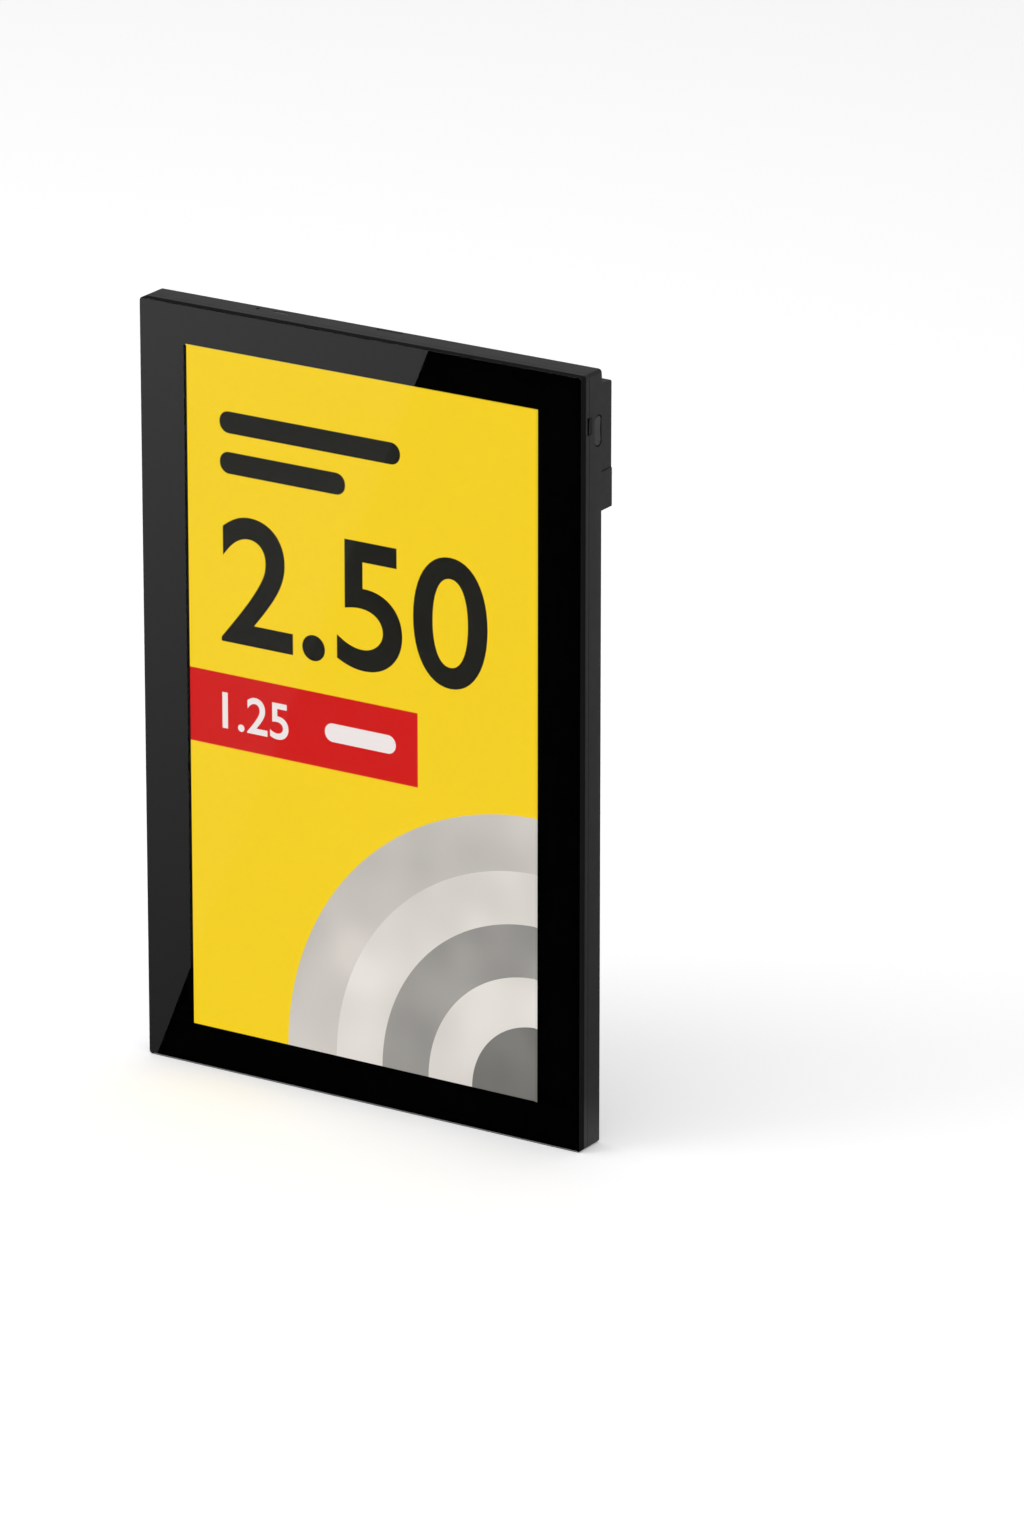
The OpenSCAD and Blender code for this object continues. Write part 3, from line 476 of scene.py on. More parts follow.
# Epoxy bodies of chips: charcoal and slightly rough.
CHIP = MouldedPlastic(
    "chip_epoxy", "19191b", "1e1e20", roughness=0.55, grain_mm=0.3, grain_depth_mm=0.008
)
# Thin PVC jacket of the aerial cable: black with a dull sheen.
CABLE = MouldedPlastic(
    "cable_pvc", "161616", "1b1b1b", roughness=0.45, grain_mm=0.4, grain_depth_mm=0.005
)
# Closed-cell foam tape: matt, with its cells just seen.
TAPE = MouldedPlastic(
    "foam_tape",
    "0e0e0e",
    "131313",
    roughness=0.85,
    grain_mm=0.3,
    grain_depth_mm=0.03,
    ior=1.4,
)
# Screen-printed black ink on the back of the glass: sinks all light.
INK = PrintedInk("printed_ink", "050505", "070707")
# Ground edge of the glass, painted black: dark and matt.
GLASS_EDGE = PrintedInk("blackened_glass_edge", "1c1c1c", "1e1e1e")
# Aluminosilicate glass, polished: clear, with a sharp mirror over the black print.
GLASS = ClearSheet("polished_cover_glass", "f4f8f7", ior=1.5)
# The same glass with an anti-reflection coat over the picture, which takes most of the mirror away.
COATED_GLASS = ClearSheet("coated_cover_glass", "ffffff", ior=1.2)
# Back of the glass, bonded to the display, so that it mirrors nothing.
BONDED_GLASS = ClearSheet("bonded_glass_back", "ffffff", ior=1.02)
# Acrylic light pipe, tinted a smoky grey: painted shade, for the dark space behind it.
LAMP_WINDOW = ClearSheet("acrylic_light_pipe_painted_shade", "c8ccd0", ior=1.49, roughness=0.12)
# Colours of the lit display, dull behind the glass. The greys vary in soft clouds, a few cm wide.
LIT_YELLOW = LitPicture("picture_yellow", "f5d01b", "f4cf1a")
LIT_BLACK = LitPicture("picture_black", "0b0b08", "10100c")
LIT_RED = LitPicture("picture_red", "cf0a09", "cb0b0b")
LIT_WHITE = LitPicture("picture_white", "efe6e4", "ebe4e2")
LIT_PALE = LitPicture("picture_pale_grey", "d6d0c9", "b9b5af", cloud_mm=34.0)
LIT_LIGHT = LitPicture("picture_light_grey", "e6e1da", "cfcac3", cloud_mm=30.0)
LIT_MIDDLE = LitPicture("picture_middle_grey", "a6a39e", "8d8b87", cloud_mm=26.0)
LIT_DEEP = LitPicture("picture_deep_grey", "7b7a76", "666561", cloud_mm=22.0)
# Thin optical films and adhesive of the display: pale, with a silky sheen.
OPTICAL_FILM = CoatedSheet("optical_film", "d8dde0", "dfe4e6", roughness=0.2, pattern_mm=6.0)
# Borosilicate sheets of the display cell, dark with their transistors.
DISPLAY_GLASS = CoatedSheet(
    "display_cell_glass", "2b3033", "343a3d", roughness=0.08, pattern_mm=0.4
)
# Tin-plated steel sheet of the tray and the can: grey and softly bright.
SHEET_STEEL = SheetMetal("tin_plated_steel", "b9bbbd", roughness=0.34)
# Zinc-plated screws: a little darker and shinier than the sheet.
SCREW_STEEL = SheetMetal(
    "zinc_plated_steel", "a5a6a9", roughness=0.3, line_mm=0.15, lay=Lay.ALONG_Z
)
# Gold-plated phosphor bronze of springs and pads: a warm, bright yellow.
GOLD = SheetMetal(
    "gold_plated_bronze", "c9a24e", roughness=0.22, line_mm=0.1, lay=Lay.ALONG_Z
)
# Nickel strip welded to the cells: a warm grey.
NICKEL = SheetMetal("nickel_strip", "b4b3ab", roughness=0.3, line_mm=0.2)
# Green solder resist over copper tracks, which show through it a little lighter.
BOARD = CoatedSheet("solder_resist", "0f4d2c", "15603a", roughness=0.35)
# Polyimide ribbon: amber, with its copper lines.
RIBBON = CoatedSheet("polyimide_ribbon", "9a5a17", "b06f25", roughness=0.3, pattern_mm=0.5)
# Blue PVC shrink wrap of the cells: shiny, with faint patches.
CELL_WRAP = CoatedSheet("pvc_shrink_wrap", "274c7d", "2a5287", roughness=0.25, pattern_mm=8.0)

FINISH_OF_SLOT: Mapping[str, Finish] = {
    "clear_glass": GLASS,
    "black_print": INK,
    "bonding_tape": TAPE,
    "optical_film": OPTICAL_FILM,
    "screen_face": DISPLAY_GLASS,
    "display_glass": DISPLAY_GLASS,
    "chip_black": CHIP,
    "white_plastic": WHITE_MOULDING,
    "sheet_steel": SHEET_STEEL,
    "ribbon_film": RIBBON,
    "housing_black": HOUSING,
    "panel_black": PANEL,
    "button_black": BUTTON,
    "screw_steel": SCREW_STEEL,
    "board_green": BOARD,
    "contact_gold": GOLD,
    "cable_black": CABLE,
    "lamp_window": LAMP_WINDOW,
    "tray_black": TRAY,
    "cell_wrap": CELL_WRAP,
    "nickel_strip": NICKEL,
}


def mesh_object(name: str, bm: bmesh.types.BMesh, finishes: Sequence[Finish]) -> bpy.types.Object:
    """Turns a bmesh into an object in the scene and frees the bmesh.

    Args:
        name: Name of the piece.
        bm: The finished bmesh, in metres and in place.
        finishes: The finishes of its material slots, in order.

    Returns:
        The new object.
    """
    mesh = bpy.data.meshes.new(name)
    bm.to_mesh(mesh)
    bm.free()
    for finish in finishes:
        mesh.materials.append(finish.build())
    piece = bpy.data.objects.new(name, mesh)
    bpy.context.scene.collection.objects.link(piece)
    return piece


def mount(piece: bpy.types.Object, body: Body, names: Sequence[str]) -> None:
    """Lets a piece ride on a body in place of CAD nodes, and reports it.

    Args:
        piece: The finished piece.
        body: The body that carries it.
        names: The CAD nodes that it stands for.
    """
    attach(piece, body.value)
    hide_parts(*names)
    LOG.info("%s: %d faces on %s", piece.name, len(piece.data.polygons), body.value)


def block(bm: bmesh.types.BMesh, low: Vector, high: Vector) -> None:
    """Adds a straight block between two corners."""
    place = Matrix.Translation((low + high) / 2) @ Matrix.Diagonal((*(high - low), 1))
    bmesh.ops.create_cube(bm, size=1, matrix=place)


def through_edges(bm: bmesh.types.BMesh) -> list[bmesh.types.BMEdge]:
    """Finds the edges that run straight from front to back.

    Args:
        bm: A bmesh that holds one block.

    Returns:
        The block's four edges along its depth.
    """
    runs = [(e, e.verts[1].co - e.verts[0].co) for e in bm.edges]
    return [e for e, run in runs if abs(run.normalized().y) > SQUARE_ON]


def round_off(
    bm: bmesh.types.BMesh, edges: Sequence[bmesh.types.BMEdge], radius: float, segments: int
) -> None:
    """Rounds edges with a true radius.

    Args:
        bm: The bmesh that holds the edges.
        edges: The edges.
        radius: The radius, in metres.
        segments: How many flats the round has.
    """
    bmesh.ops.bevel(
        bm,
        geom=list(edges),
        offset=radius,
        offset_type="OFFSET",
        segments=segments,
        profile=0.5,
        affect="EDGES",
        material=-1,
        clamp_overlap=False,
    )


def smooth(piece: bpy.types.Object) -> None:
    """Shades a piece smoothly, with flat faces kept flat and hard edges kept sharp.

    Args:
        piece: The piece.
    """
    mesh = piece.data
    mesh.shade_smooth()
    mesh.set_sharp_from_angle(angle=math.radians(SHADING_DEGREES))
    weighted = piece.modifiers.new("weighted_normals", "WEIGHTED_NORMAL")
    weighted.keep_sharp = True


@dataclass
class Casting:
    """A rigid CAD piece shown as a merged copy with its edges softened, as a moulding has them.

    The rims of holes and slots shorter than rim_mm stay crisp. Two edges that face each other
    need room_share radii between them. They face each other from facing_cosine on, and touch
    where they are closer than touch_share of that room.
    """

    node: str
    body: Body
    slot: str
    radius_mm: float
    segments: int = 2
    sharp_degrees: float = 30.0
    flat_degrees: float = 0.6
    merge_mm: float = 0.002
    rim_mm: float = 45.0
    room_share: float = 2.2
    touch_share: float = 0.01
    facing_cosine: float = -0.3

    def crowded(
        self, face: bmesh.types.BMFace, crisp: set[bmesh.types.BMEdge]
    ) -> set[bmesh.types.BMEdge]:
        """Finds the crisp edges that face each other across too narrow a strip of a face.

        Args:
            face: A face of the copy.
            crisp: The edges that would be rounded.

        Returns:
            The edges that have to stay crisp.
        """
        room = self.room_share * self.radius_mm * MM
        touching = room * self.touch_share
        sides = [
            (loop.edge, loop.vert.co, loop.link_loop_next.vert.co)
            for loop in face.loops
            if loop.edge in crisp
        ]
        found: set[bmesh.types.BMEdge] = set()
        for edge, start, end in sides:
            along = (end - start).normalized()
            inward = face.normal.cross(along)
            for other, first, last in sides:
                if other is edge or along.dot((last - first).normalized()) > self.facing_cosine:
                    continue
                for point in (first, (first + last) / 2, last):
                    reach = max(0.0, min((end - start).length, (point - start).dot(along)))
                    apart = point - (start + along * reach)
                    near = apart.length < room
                    if near and (apart.dot(inward) > 0 or apart.length < touching):
                        found |= {edge, other}
        return found

    def small_rims(self, crisp: set[bmesh.types.BMEdge]) -> set[bmesh.types.BMEdge]:
        """Finds the rims of small holes and slots, which a mould leaves crisp.

        Args:
            crisp: The edges that would be rounded.

        Returns:
            The edges of every connected run that is shorter than the rim length.
        """
        found: set[bmesh.types.BMEdge] = set()
        left = set(crisp)
        while left:
            run, fresh = set(), [left.pop()]
            while fresh:
                edge = fresh.pop()
                run.add(edge)
                near = {e for v in edge.verts for e in v.link_edges} & left
                left -= near
                fresh.extend(near)
            if sum(e.calc_length() for e in run) < self.rim_mm * MM:
                found |= run
        return found

    def make(self) -> bpy.types.Object:
        """Builds the copy and lets it stand for its CAD node.

        Returns:
            The new piece.
        """
        bm = bmesh.new()
        bm.from_mesh(bpy.data.objects[self.node].data)
        bmesh.ops.remove_doubles(bm, verts=bm.verts, dist=self.merge_mm * MM)
        bmesh.ops.dissolve_limit(
            bm,
            angle_limit=math.radians(self.flat_degrees),
            verts=bm.verts,
            edges=bm.edges,
            use_dissolve_boundaries=False,
        )
        bm.normal_update()
        limit = math.radians(self.sharp_degrees)
        crisp = {e for e in bm.edges if e.is_manifold and e.calc_face_angle(0.0) > limit}
        for face in bm.faces:
            crisp -= self.crowded(face, crisp)
        crisp -= self.small_rims(crisp)
        round_off(bm, sorted(crisp, key=lambda e: e.index), self.radius_mm * MM, self.segments)
        piece = mesh_object(self.node + "_moulding", bm, [FINISH_OF_SLOT[self.slot]])
        smooth(piece)
        mount(piece, self.body, [self.node])
        return piece


@dataclass
class CoverGlass:
    """The glass front: a plate with round corners and a rounded front edge.

    Its back stands air_mm off the print that lies behind it.
    """

    corner_mm: float = 1.2
    corner_steps: int = 8
    edge_mm: float = 0.35
    edge_steps: int = 6
    air_mm: float = 0.02
    window_low: Vector = field(default_factory=Vector)
    window_high: Vector = field(default_factory=Vector)

    FINISHES: ClassVar[tuple[Finish, ...]] = (
        GLASS,
        INK,
        COATED_GLASS,
        BONDED_GLASS,
        GLASS_EDGE,
    )

    def finish_of(self, face: bmesh.types.BMFace) -> Finish:
        """Picks the finish of a face by its side and by whether it lies over the window.

        Args:
            face: A face of the plate.

        Returns:
            The clear or coated front, the bonded or inked back, or the edge.
        """
        middle = face.calc_center_median()
        low, high = self.window_low, self.window_high
        inside = low.x < middle.x < high.x and low.z < middle.z < high.z
        if face.normal.y < -SQUARE_ON:
            return COATED_GLASS if inside else GLASS
        if face.normal.y > SQUARE_ON:
            return BONDED_GLASS if inside else INK
        return GLASS_EDGE

    def make(self) -> bpy.types.Object:
        """Builds the glass, with the print's ink bonded to its back round the window.

        Returns:
            The new piece.
        """
        low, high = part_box("cover_glass")
        high.y -= self.air_mm * MM
        bm = bmesh.new()
        block(bm, low, high)
        round_off(bm, through_edges(bm), self.corner_mm * MM, self.corner_steps)
        near = NEAR_MM * MM
        front = [e for e in bm.edges if all(abs(v.co.y - low.y) < near for v in e.verts)]
        round_off(bm, front, self.edge_mm * MM, self.edge_steps)
        for normal in (Vector((1, 0, 0)), Vector((0, 0, 1))):
            for corner in (self.window_low, self.window_high):
                everything = [*bm.verts, *bm.edges, *bm.faces]
                bmesh.ops.bisect_plane(
                    bm, geom=everything, dist=CUT_REACH, plane_co=corner, plane_no=normal
                )
        bm.normal_update()
        for face in bm.faces:
            face.material_index = self.FINISHES.index(self.finish_of(face))
        piece = mesh_object("cover_glass_plate", bm, self.FINISHES)
        smooth(piece)
        mount(piece, Body.LABEL, ["cover_glass"])
        return piece


@dataclass
class ScreenPicture:
    """The lit picture: a plain price layout of numerals, bars and quarter rings.

    It is built of flat layers, whose deepest front lies depth_mm behind the face of the glass.
    Its ground runs bleed_mm behind the border. All its places are in mm from the window's lower
    left corner, and the rings, given by their radius and colour, stand round the lower right one.
    A bar and the banner have their foot, head and right end, numerals their foot and height, and
    the tag its lower left and upper right corners. boldness thickens the numerals, as a share of
    the size of their type.
    """

    face: float = 0.0
    window_low: Vector = field(default_factory=Vector)
    window_high: Vector = field(default_factory=Vector)
    layer_mm: float = 0.008
    bleed_mm: float = 0.6
    boldness: float = 0.012
    depth_mm: float = 2.06
    corner_steps: int = 10
    ring_steps: int = 128
    margin_mm: float = 12.0
    bars_mm: tuple[tuple[float, float, float], ...] = ((196.0, 203.0, 78.0), (183.0, 190.0, 58.0))
    bar_round_mm: float = 3.4
    price: str = "2.50"
    price_mm: tuple[float, float] = (128.0, 42.0)
    banner_mm: tuple[float, float, float] = (94.0, 118.0, 84.0)
    note: str = "1.25"
    note_mm: tuple[float, float] = (100.0, 12.0)
    tag_mm: tuple[float, float, float, float] = (50.0, 103.0, 76.0, 109.0)
    tag_round_mm: float = 2.9

    FINISHES: ClassVar[tuple[Finish, ...]] = (
        LIT_YELLOW,
        LIT_BLACK,
        LIT_RED,
        LIT_WHITE,
        LIT_PALE,
        LIT_LIGHT,
        LIT_MIDDLE,
        LIT_DEEP,
        DISPLAY_GLASS,
    )
    RINGS_MM: ClassVar[tuple[tuple[float, Finish], ...]] = (
        (92.0, LIT_PALE),
        (74.0, LIT_LIGHT),
        (57.0, LIT_MIDDLE),
        (40.0, LIT_LIGHT),
        (24.0, LIT_DEEP),
    )

    def depth(self, layer: int) -> float:
        """Returns the depth of a layer's front, where layer 0 lies deepest."""
        return self.face + (self.depth_mm - layer * self.layer_mm) * MM

    def panel(
        self,
        bm: bmesh.types.BMesh,
        layer: int,
        low: tuple[float, float],
        high: tuple[float, float],
        finish: Finish,
        corner_mm: float = 0.0,
    ) -> None:
        """Adds a flat panel with round corners.

        Args:
            bm: The picture's bmesh.
            layer: The layer that it lies on.
            low: Its lower left corner.
            high: Its upper right corner.
            finish: Its colour.
            corner_mm: Radius of its corners.
        """
        front = self.depth(layer)
        base = self.window_low
        part = bmesh.new()
        block(
            part,
            Vector((base.x + low[0] * MM, front, base.z + low[1] * MM)),
            Vector((base.x + high[0] * MM, front + self.layer_mm * MM, base.z + high[1] * MM)),
        )
        if corner_mm:
            round_off(part, through_edges(part), corner_mm * MM, self.corner_steps)
        self.merge(bm, part, finish)

    def ring(self, bm: bmesh.types.BMesh, layer: int, radius_mm: float, finish: Finish) -> None:
        """Adds a quarter disc round the lower right corner of the window.

        Args:
            bm: The picture's bmesh.
            layer: The layer that it lies on.
            radius_mm: Its radius.
            finish: Its colour.
        """
        thick = self.layer_mm * MM
        corner = Vector((self.window_high.x, self.depth(layer) + thick / 2, self.window_low.z))
        part = bmesh.new()
        bmesh.ops.create_cone(
            part,
            cap_ends=True,
            segments=self.ring_steps,
            radius1=radius_mm * MM,
            radius2=radius_mm * MM,
            depth=thick,
            matrix=Matrix.Translation(corner) @ Matrix.Rotation(math.radians(90), 4, "X"),
        )
        bleed = self.bleed_mm * MM
        for point, normal in (
            (corner + Vector((bleed, 0, 0)), Vector((1, 0, 0))),
            (corner - Vector((0, 0, bleed)), Vector((0, 0, -1))),
        ):
            cut = bmesh.ops.bisect_plane(
                part,
                geom=[*part.verts, *part.edges, *part.faces],
                dist=CUT_REACH,
                plane_co=point,
                plane_no=normal,
                clear_outer=True,
            )
            rim = [g for g in cut["geom_cut"] if isinstance(g, bmesh.types.BMEdge)]
            bmesh.ops.holes_fill(part, edges=rim)
        self.merge(bm, part, finish)

    def numerals(
        self,
        bm: bmesh.types.BMesh,
        layer: int,
        text: str,
        place_mm: tuple[float, float],
        finish: Finish,
    ) -> None:
        """Adds plain numerals.

        Args:
            bm: The picture's bmesh.
            layer: The layer that they lie on.
            text: The numerals.
            place_mm: Height of their foot, and height of a numeral.
            finish: Their colour.
        """
        curve = bpy.data.curves.new("numerals", "FONT")
        curve.body = text
        curve.extrude = self.layer_mm * MM / 2
        curve.offset = self.boldness
        holder = bpy.data.objects.new("numerals", curve)
        mesh = bpy.data.meshes.new_from_object(holder)
        bpy.data.objects.remove(holder)
        part = bmesh.new()
        part.from_mesh(mesh)
        bpy.data.meshes.remove(mesh)
        bpy.data.curves.remove(curve)
        bmesh.ops.remove_doubles(part, verts=part.verts, dist=CUT_REACH)
        left = min(v.co.x for v in part.verts)
        foot = min(v.co.y for v in part.verts)
        tall = max(v.co.y for v in part.verts) - foot
        scale = place_mm[1] * MM / tall
        middle = self.depth(layer) + self.layer_mm * MM / 2
        for v in part.verts:
            across = self.margin_mm * MM + (v.co.x - left) * scale
            up = place_mm[0] * MM + (v.co.y - foot) * scale
            v.co = Vector((self.window_low.x + across, middle - v.co.z, self.window_low.z + up))
        self.merge(bm, part, finish)

    def merge(self, bm: bmesh.types.BMesh, part: bmesh.types.BMesh, finish: Finish) -> None:
        """Joins a finished part into the picture and frees it.

        Args:
            bm: The picture's bmesh.
            part: The part's own bmesh.
            finish: Its colour.
        """
        bmesh.ops.recalc_face_normals(part, faces=part.faces)
        for face in part.faces:
            face.material_index = self.FINISHES.index(finish)
        carrier = bpy.data.meshes.new("part")
        part.to_mesh(carrier)
        part.free()
        bm.from_mesh(carrier)
        bpy.data.meshes.remove(carrier)

    def make(self) -> bpy.types.Object:
        """Builds the picture, which stands for the polariser and its clear adhesive.

        Returns:
            The new piece.
        """
        wide = (self.window_high.x - self.window_low.x) / MM
        tall = (self.window_high.z - self.window_low.z) / MM
        bleed = self.bleed_mm
        bm = bmesh.new()
        block(bm, *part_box("front_polariser"))
        for face in bm.faces:
            face.material_index = self.FINISHES.index(DISPLAY_GLASS)
        self.panel(bm, 0, (-bleed, -bleed), (wide + bleed, tall + bleed), LIT_YELLOW)
        for layer, (radius, finish) in enumerate(self.RINGS_MM, start=1):
            self.ring(bm, layer, radius, finish)
        for foot, head, end in self.bars_mm:
            self.panel(bm, 1, (self.margin_mm, foot), (end, head), LIT_BLACK, self.bar_round_mm)
        self.numerals(bm, 1, self.price, self.price_mm, LIT_BLACK)
        foot, head, end = self.banner_mm
        self.panel(bm, 1, (-bleed, foot), (end, head), LIT_RED)
        self.numerals(bm, 2, self.note, self.note_mm, LIT_WHITE)
        self.panel(bm, 2, self.tag_mm[:2], self.tag_mm[2:], LIT_WHITE, self.tag_round_mm)
        piece = mesh_object("screen_picture", bm, self.FINISHES)
        mount(piece, Body.LABEL, ["front_polariser", "optical_adhesive"])
        return piece


def stage_plane(
    name: str, corners: Sequence[tuple[float, float]], height: float, material: bpy.types.Material
) -> bpy.types.Object:
    """Adds a level plane that belongs to the studio.

    Args:
        name: Its name.
        corners: Its corners, seen from above.
        height: How far it lies above the floor.
        material: Its material.

    Returns:
        The plane.
    """
    bm = bmesh.new()
    bm.faces.new([bm.verts.new((x, y, height)) for x, y in corners])
    mesh = bpy.data.meshes.new(name)
    bm.to_mesh(mesh)
    bm.free()
    mesh.materials.append(material)
    plane = bpy.data.objects.new(name, mesh)
    bpy.context.scene.collection.objects.link(plane)
    return plane


def empty_tree(holder: bpy.types.Material | bpy.types.World) -> bpy.types.NodeTree:
    """Gives a material or world an empty node tree.

    Args:
        holder: The material or world.

    Returns:
        The tree.
    """
    holder.use_nodes = True
    holder.node_tree.nodes.clear()
    return holder.node_tree


@dataclass(frozen=True)
class MirrorCard:
    """A flat card on the floor that only mirrors see, with a soft change of brightness.

    Its brightness goes from shades[0] at span[0] to shades[1] at span[1], measured along across.
    """

    name: str
    corners: tuple[tuple[float, float], ...]
    height: float
    across: tuple[float, float, float]
    span: tuple[float, float]
    shades: tuple[float, float]

    HIDDEN_FROM: ClassVar[tuple[str, ...]] = (
        "camera",
        "diffuse",
        "transmission",
        "volume_scatter",
        "shadow",
    )

    def make(self) -> None:
        """Lays the card out."""
        material = bpy.data.materials.new(self.name)
        tree = empty_tree(material)
        place = add_node(tree, "ShaderNodeTexCoord").outputs["Object"]
        along = add_node(
            tree, "ShaderNodeVectorMath", {1: self.across}, {0: place}, operation="DOT_PRODUCT"
        )
        spread = {
            "From Min": self.span[0],
            "From Max": self.span[1],
            "To Min": self.shades[0],
            "To Max": self.shades[1],
        }
        fade = add_node(tree, "ShaderNodeMapRange", spread, {"Value": along.outputs["Value"]})
        glow = add_node(
            tree, "ShaderNodeEmission", {"Color": WHITE_LIGHT}, {"Strength": fade.outputs["Result"]}
        )
        add_node(tree, "ShaderNodeOutputMaterial", links={"Surface": glow.outputs[0]})
        card = stage_plane(self.name, self.corners, self.height, material)
        for ray in self.HIDDEN_FROM:
            setattr(card, "visible_" + ray, False)


@dataclass(frozen=True)
class Softbox:
    """A square lamp that the camera doesn't see."""

    name: str
    place: tuple[float, float, float]
    size: float
    watts: float
    aim: tuple[float, float, float]

    def make(self) -> None:
        """Hangs the lamp and turns it to its aim."""
        data = bpy.data.lights.new(self.name, "AREA")
        data.shape = "SQUARE"
        data.size = self.size
        data.energy = self.watts
        lamp = bpy.data.objects.new(self.name, data)
        lamp.location = self.place
        back = Vector(self.place) - Vector(self.aim)
        lamp.rotation_euler = back.to_track_quat("Z", "Y").to_euler()
        lamp.visible_camera = False
        bpy.context.scene.collection.objects.link(lamp)


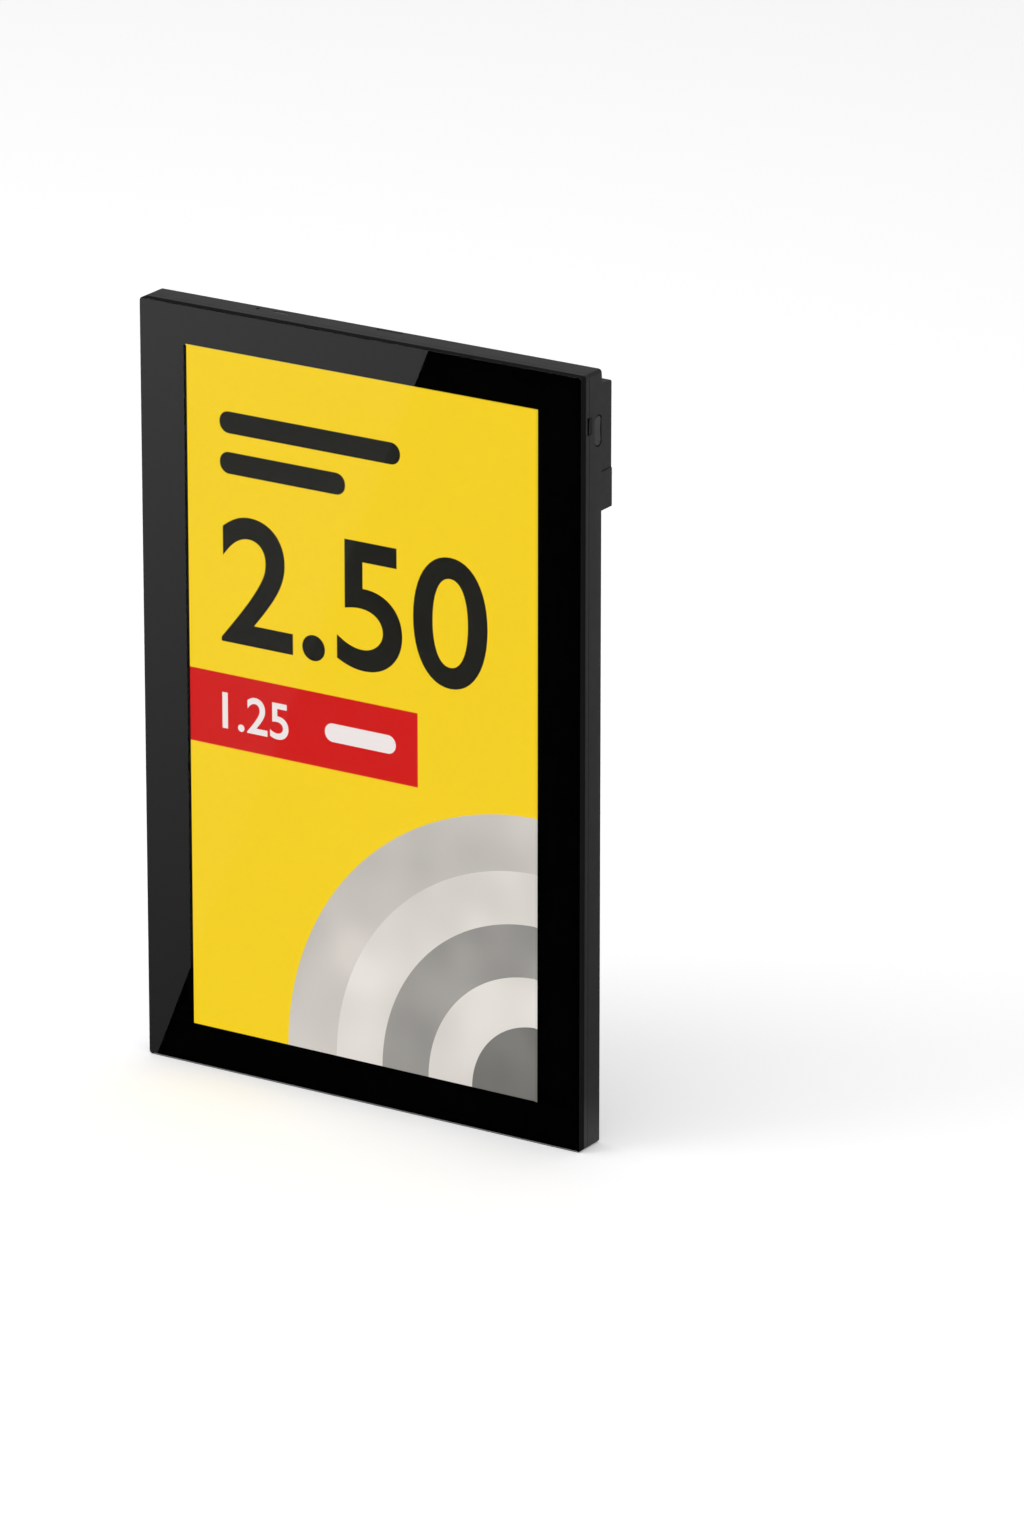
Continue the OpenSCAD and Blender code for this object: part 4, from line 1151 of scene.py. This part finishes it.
@dataclass
class Studio:
    """Pale floor, soft light and the camera of the photograph. Its lengths are in metres.

    The camera stands at stand and sees as far as sight. The floor is floor_lift brighter to the
    camera and to mirrors, so that it shows white. The sky's three values are its brightness to
    the camera, to mirrors and to matt surfaces.
    """

    floor_size: float = 14.0
    floor_colour: str = "fafafa"
    floor_lift: float = 0.21
    floor_grain_mm: float = 40.0
    floor_roughness: tuple[float, float] = (0.85, 0.95)
    lens_mm: float = 223.9
    sensor_mm: float = 36.0
    sight: float = 100.0
    azimuth: float = 32.479
    elevation: float = 19.25
    stand: tuple[float, float, float] = (1.5249, -2.3173, 1.0761)
    sky_seen: float = 1.0
    sky_glossy: float = 0.45
    sky_diffuse: float = 0.55

    # The front card and the flag over it give the glass its slanting light and dark reflection.
    # Both start just in front of the glass. The rear card gives the rear panel its soft fade.
    CARDS: ClassVar[tuple[MirrorCard, ...]] = (
        MirrorCard(
            "front_card",
            corners=((-1.2, -0.0089), (-1.2, -1.2), (0.8, -1.2), (0.8, -0.0089)),
            height=0.0001,
            across=(-1, 0, 0),
            span=(0, 0.56),
            shades=(0.25, 1.0),
        ),
        MirrorCard(
            "front_flag",
            corners=((-0.0771, -0.0089), (-0.4736, -0.8), (0.6, -0.8), (0.6, -0.0089)),
            height=0.0002,
            across=(0, -1, 0),
            span=(0, 1),
            shades=(0, 0),
        ),
        MirrorCard(
            "rear_card",
            corners=((-0.8, 0.02), (0.9, 0.02), (0.9, 1.2), (-0.8, 1.2)),
            height=0.0003,
            across=(1, -0.62, 0),
            span=(-0.1, 0.09),
            shades=(1.0, 0.25),
        ),
    )
    LAMPS: ClassVar[tuple[Softbox, ...]] = (
        Softbox("overhead", place=(-0.3, -0.2, 1.9), size=1.8, watts=14.0, aim=(0, 0, 0)),
        Softbox("front_left", place=(-1.6, -1.6, 1.3), size=1.2, watts=12.0, aim=(0, 0, 0.124)),
    )

    def camera(self) -> None:
        """Adds the camera that stands where the photograph was taken."""
        data = bpy.data.cameras.new("camera")
        data.lens = self.lens_mm
        data.sensor_width = self.sensor_mm
        data.clip_end = self.sight
        camera = bpy.data.objects.new("camera", data)
        tilt = math.radians(90 - self.elevation)
        camera.rotation_euler = (tilt, 0, math.radians(self.azimuth))
        camera.location = self.stand
        bpy.context.scene.collection.objects.link(camera)
        bpy.context.scene.camera = camera

    def floor(self) -> None:
        """Adds the pale floor, which looks a little brighter to the camera and to mirrors."""
        material = bpy.data.materials.new("painted_floor")
        tree = empty_tree(material)
        place = add_node(tree, "ShaderNodeTexCoord").outputs["Object"]
        paint = add_node(
            tree,
            "ShaderNodeBsdfPrincipled",
            {"Base Color": linear(self.floor_colour), "Specular IOR Level": 0.0},
            {"Roughness": speckle(tree, place, self.floor_grain_mm, *self.floor_roughness)},
        )
        path = add_node(tree, "ShaderNodeLightPath").outputs
        seen = path["Is Camera Ray"]
        for ray in ("Is Glossy Ray", "Is Transmission Ray"):
            either = {0: seen, 1: path[ray]}
            seen = add_node(tree, "ShaderNodeMath", links=either, operation="MAXIMUM").outputs[0]
        white = add_node(
            tree, "ShaderNodeEmission", {"Color": WHITE_LIGHT, "Strength": self.floor_lift}
        )
        lifted = add_node(
            tree, "ShaderNodeAddShader", links={0: paint.outputs[0], 1: white.outputs[0]}
        )
        shown = add_node(
            tree,
            "ShaderNodeMixShader",
            links={0: seen, 1: paint.outputs[0], 2: lifted.outputs[0]},
        )
        add_node(tree, "ShaderNodeOutputMaterial", links={"Surface": shown.outputs[0]})
        half = self.floor_size / 2
        corners = ((-half, -half), (half, -half), (half, half), (-half, half))
        stage_plane("floor", corners, 0.0, material)

    def world(self) -> None:
        """Sets a world that is white to the camera and softer to the surfaces."""
        world = bpy.data.worlds.new("studio")
        bpy.context.scene.world = world
        tree = empty_tree(world)
        path = add_node(tree, "ShaderNodeLightPath").outputs
        white, walls, fill = (
            add_node(tree, "ShaderNodeBackground", {"Color": WHITE_LIGHT, "Strength": strength})
            for strength in (self.sky_seen, self.sky_glossy, self.sky_diffuse)
        )
        lit = add_node(
            tree,
            "ShaderNodeMixShader",
            links={0: path["Is Glossy Ray"], 1: fill.outputs[0], 2: walls.outputs[0]},
        )
        shown = add_node(
            tree,
            "ShaderNodeMixShader",
            links={0: path["Is Camera Ray"], 1: lit.outputs[0], 2: white.outputs[0]},
        )
        add_node(tree, "ShaderNodeOutputWorld", links={"Surface": shown.outputs[0]})

    def make(self) -> None:
        """Builds the floor, the cards, the lamps and the world."""
        self.floor()
        for piece in (*self.CARDS, *self.LAMPS):
            piece.make()
            LOG.info("studio: %s", piece.name)
        self.world()
        bpy.context.scene.view_settings.view_transform = "Standard"


CASTINGS: Sequence[Casting] = (
    Casting("rear_housing", Body.LABEL, "housing_black", radius_mm=0.25),
    Casting("front_frame", Body.LABEL, "housing_black", radius_mm=0.15),
    Casting("rear_panel", Body.LABEL, "panel_black", radius_mm=0.15),
    Casting("light_pipe", Body.LABEL, "lamp_window", radius_mm=0.08, rim_mm=0.0),
    Casting("side_button", Body.BUTTON, "button_black", radius_mm=0.08, rim_mm=0.0),
    Casting("battery_door", Body.MODULE, "panel_black", radius_mm=0.2),
    Casting("battery_tray", Body.MODULE, "tray_black", radius_mm=0.15),
)


def dress_nodes(record: Mapping[str, Any]) -> None:
    """Gives every CAD node the finish of its slot.

    Args:
        record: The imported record, whose subparts name each node's slot.
    """
    for subpart in record["subparts"]:
        node = bpy.data.objects[subpart["node"]]
        material = FINISH_OF_SLOT[subpart["material_slot"]].build()
        node.data.materials.clear()
        node.data.materials.append(material)
        LOG.info("%s: %s", subpart["node"], material.name)


def main() -> None:
    """Builds the camera, the label's looks and the studio."""
    logging.basicConfig(level=logging.INFO, format="%(name)s %(message)s", stream=sys.stdout)
    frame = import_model()
    studio = Studio()
    studio.camera()
    dress_nodes(frame["record"])
    half_width = WINDOW_HALF_WIDTH_MM * MM
    window_low = Vector((-half_width, 0, WINDOW_BOTTOM_MM * MM))
    window_high = Vector((half_width, 0, WINDOW_TOP_MM * MM))
    glass_low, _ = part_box("cover_glass")
    CoverGlass(window_low=window_low, window_high=window_high).make()
    ScreenPicture(face=glass_low.y, window_low=window_low, window_high=window_high).make()
    for casting in CASTINGS:
        casting.make()
    studio.make()


if __name__ == "__main__":
    main()
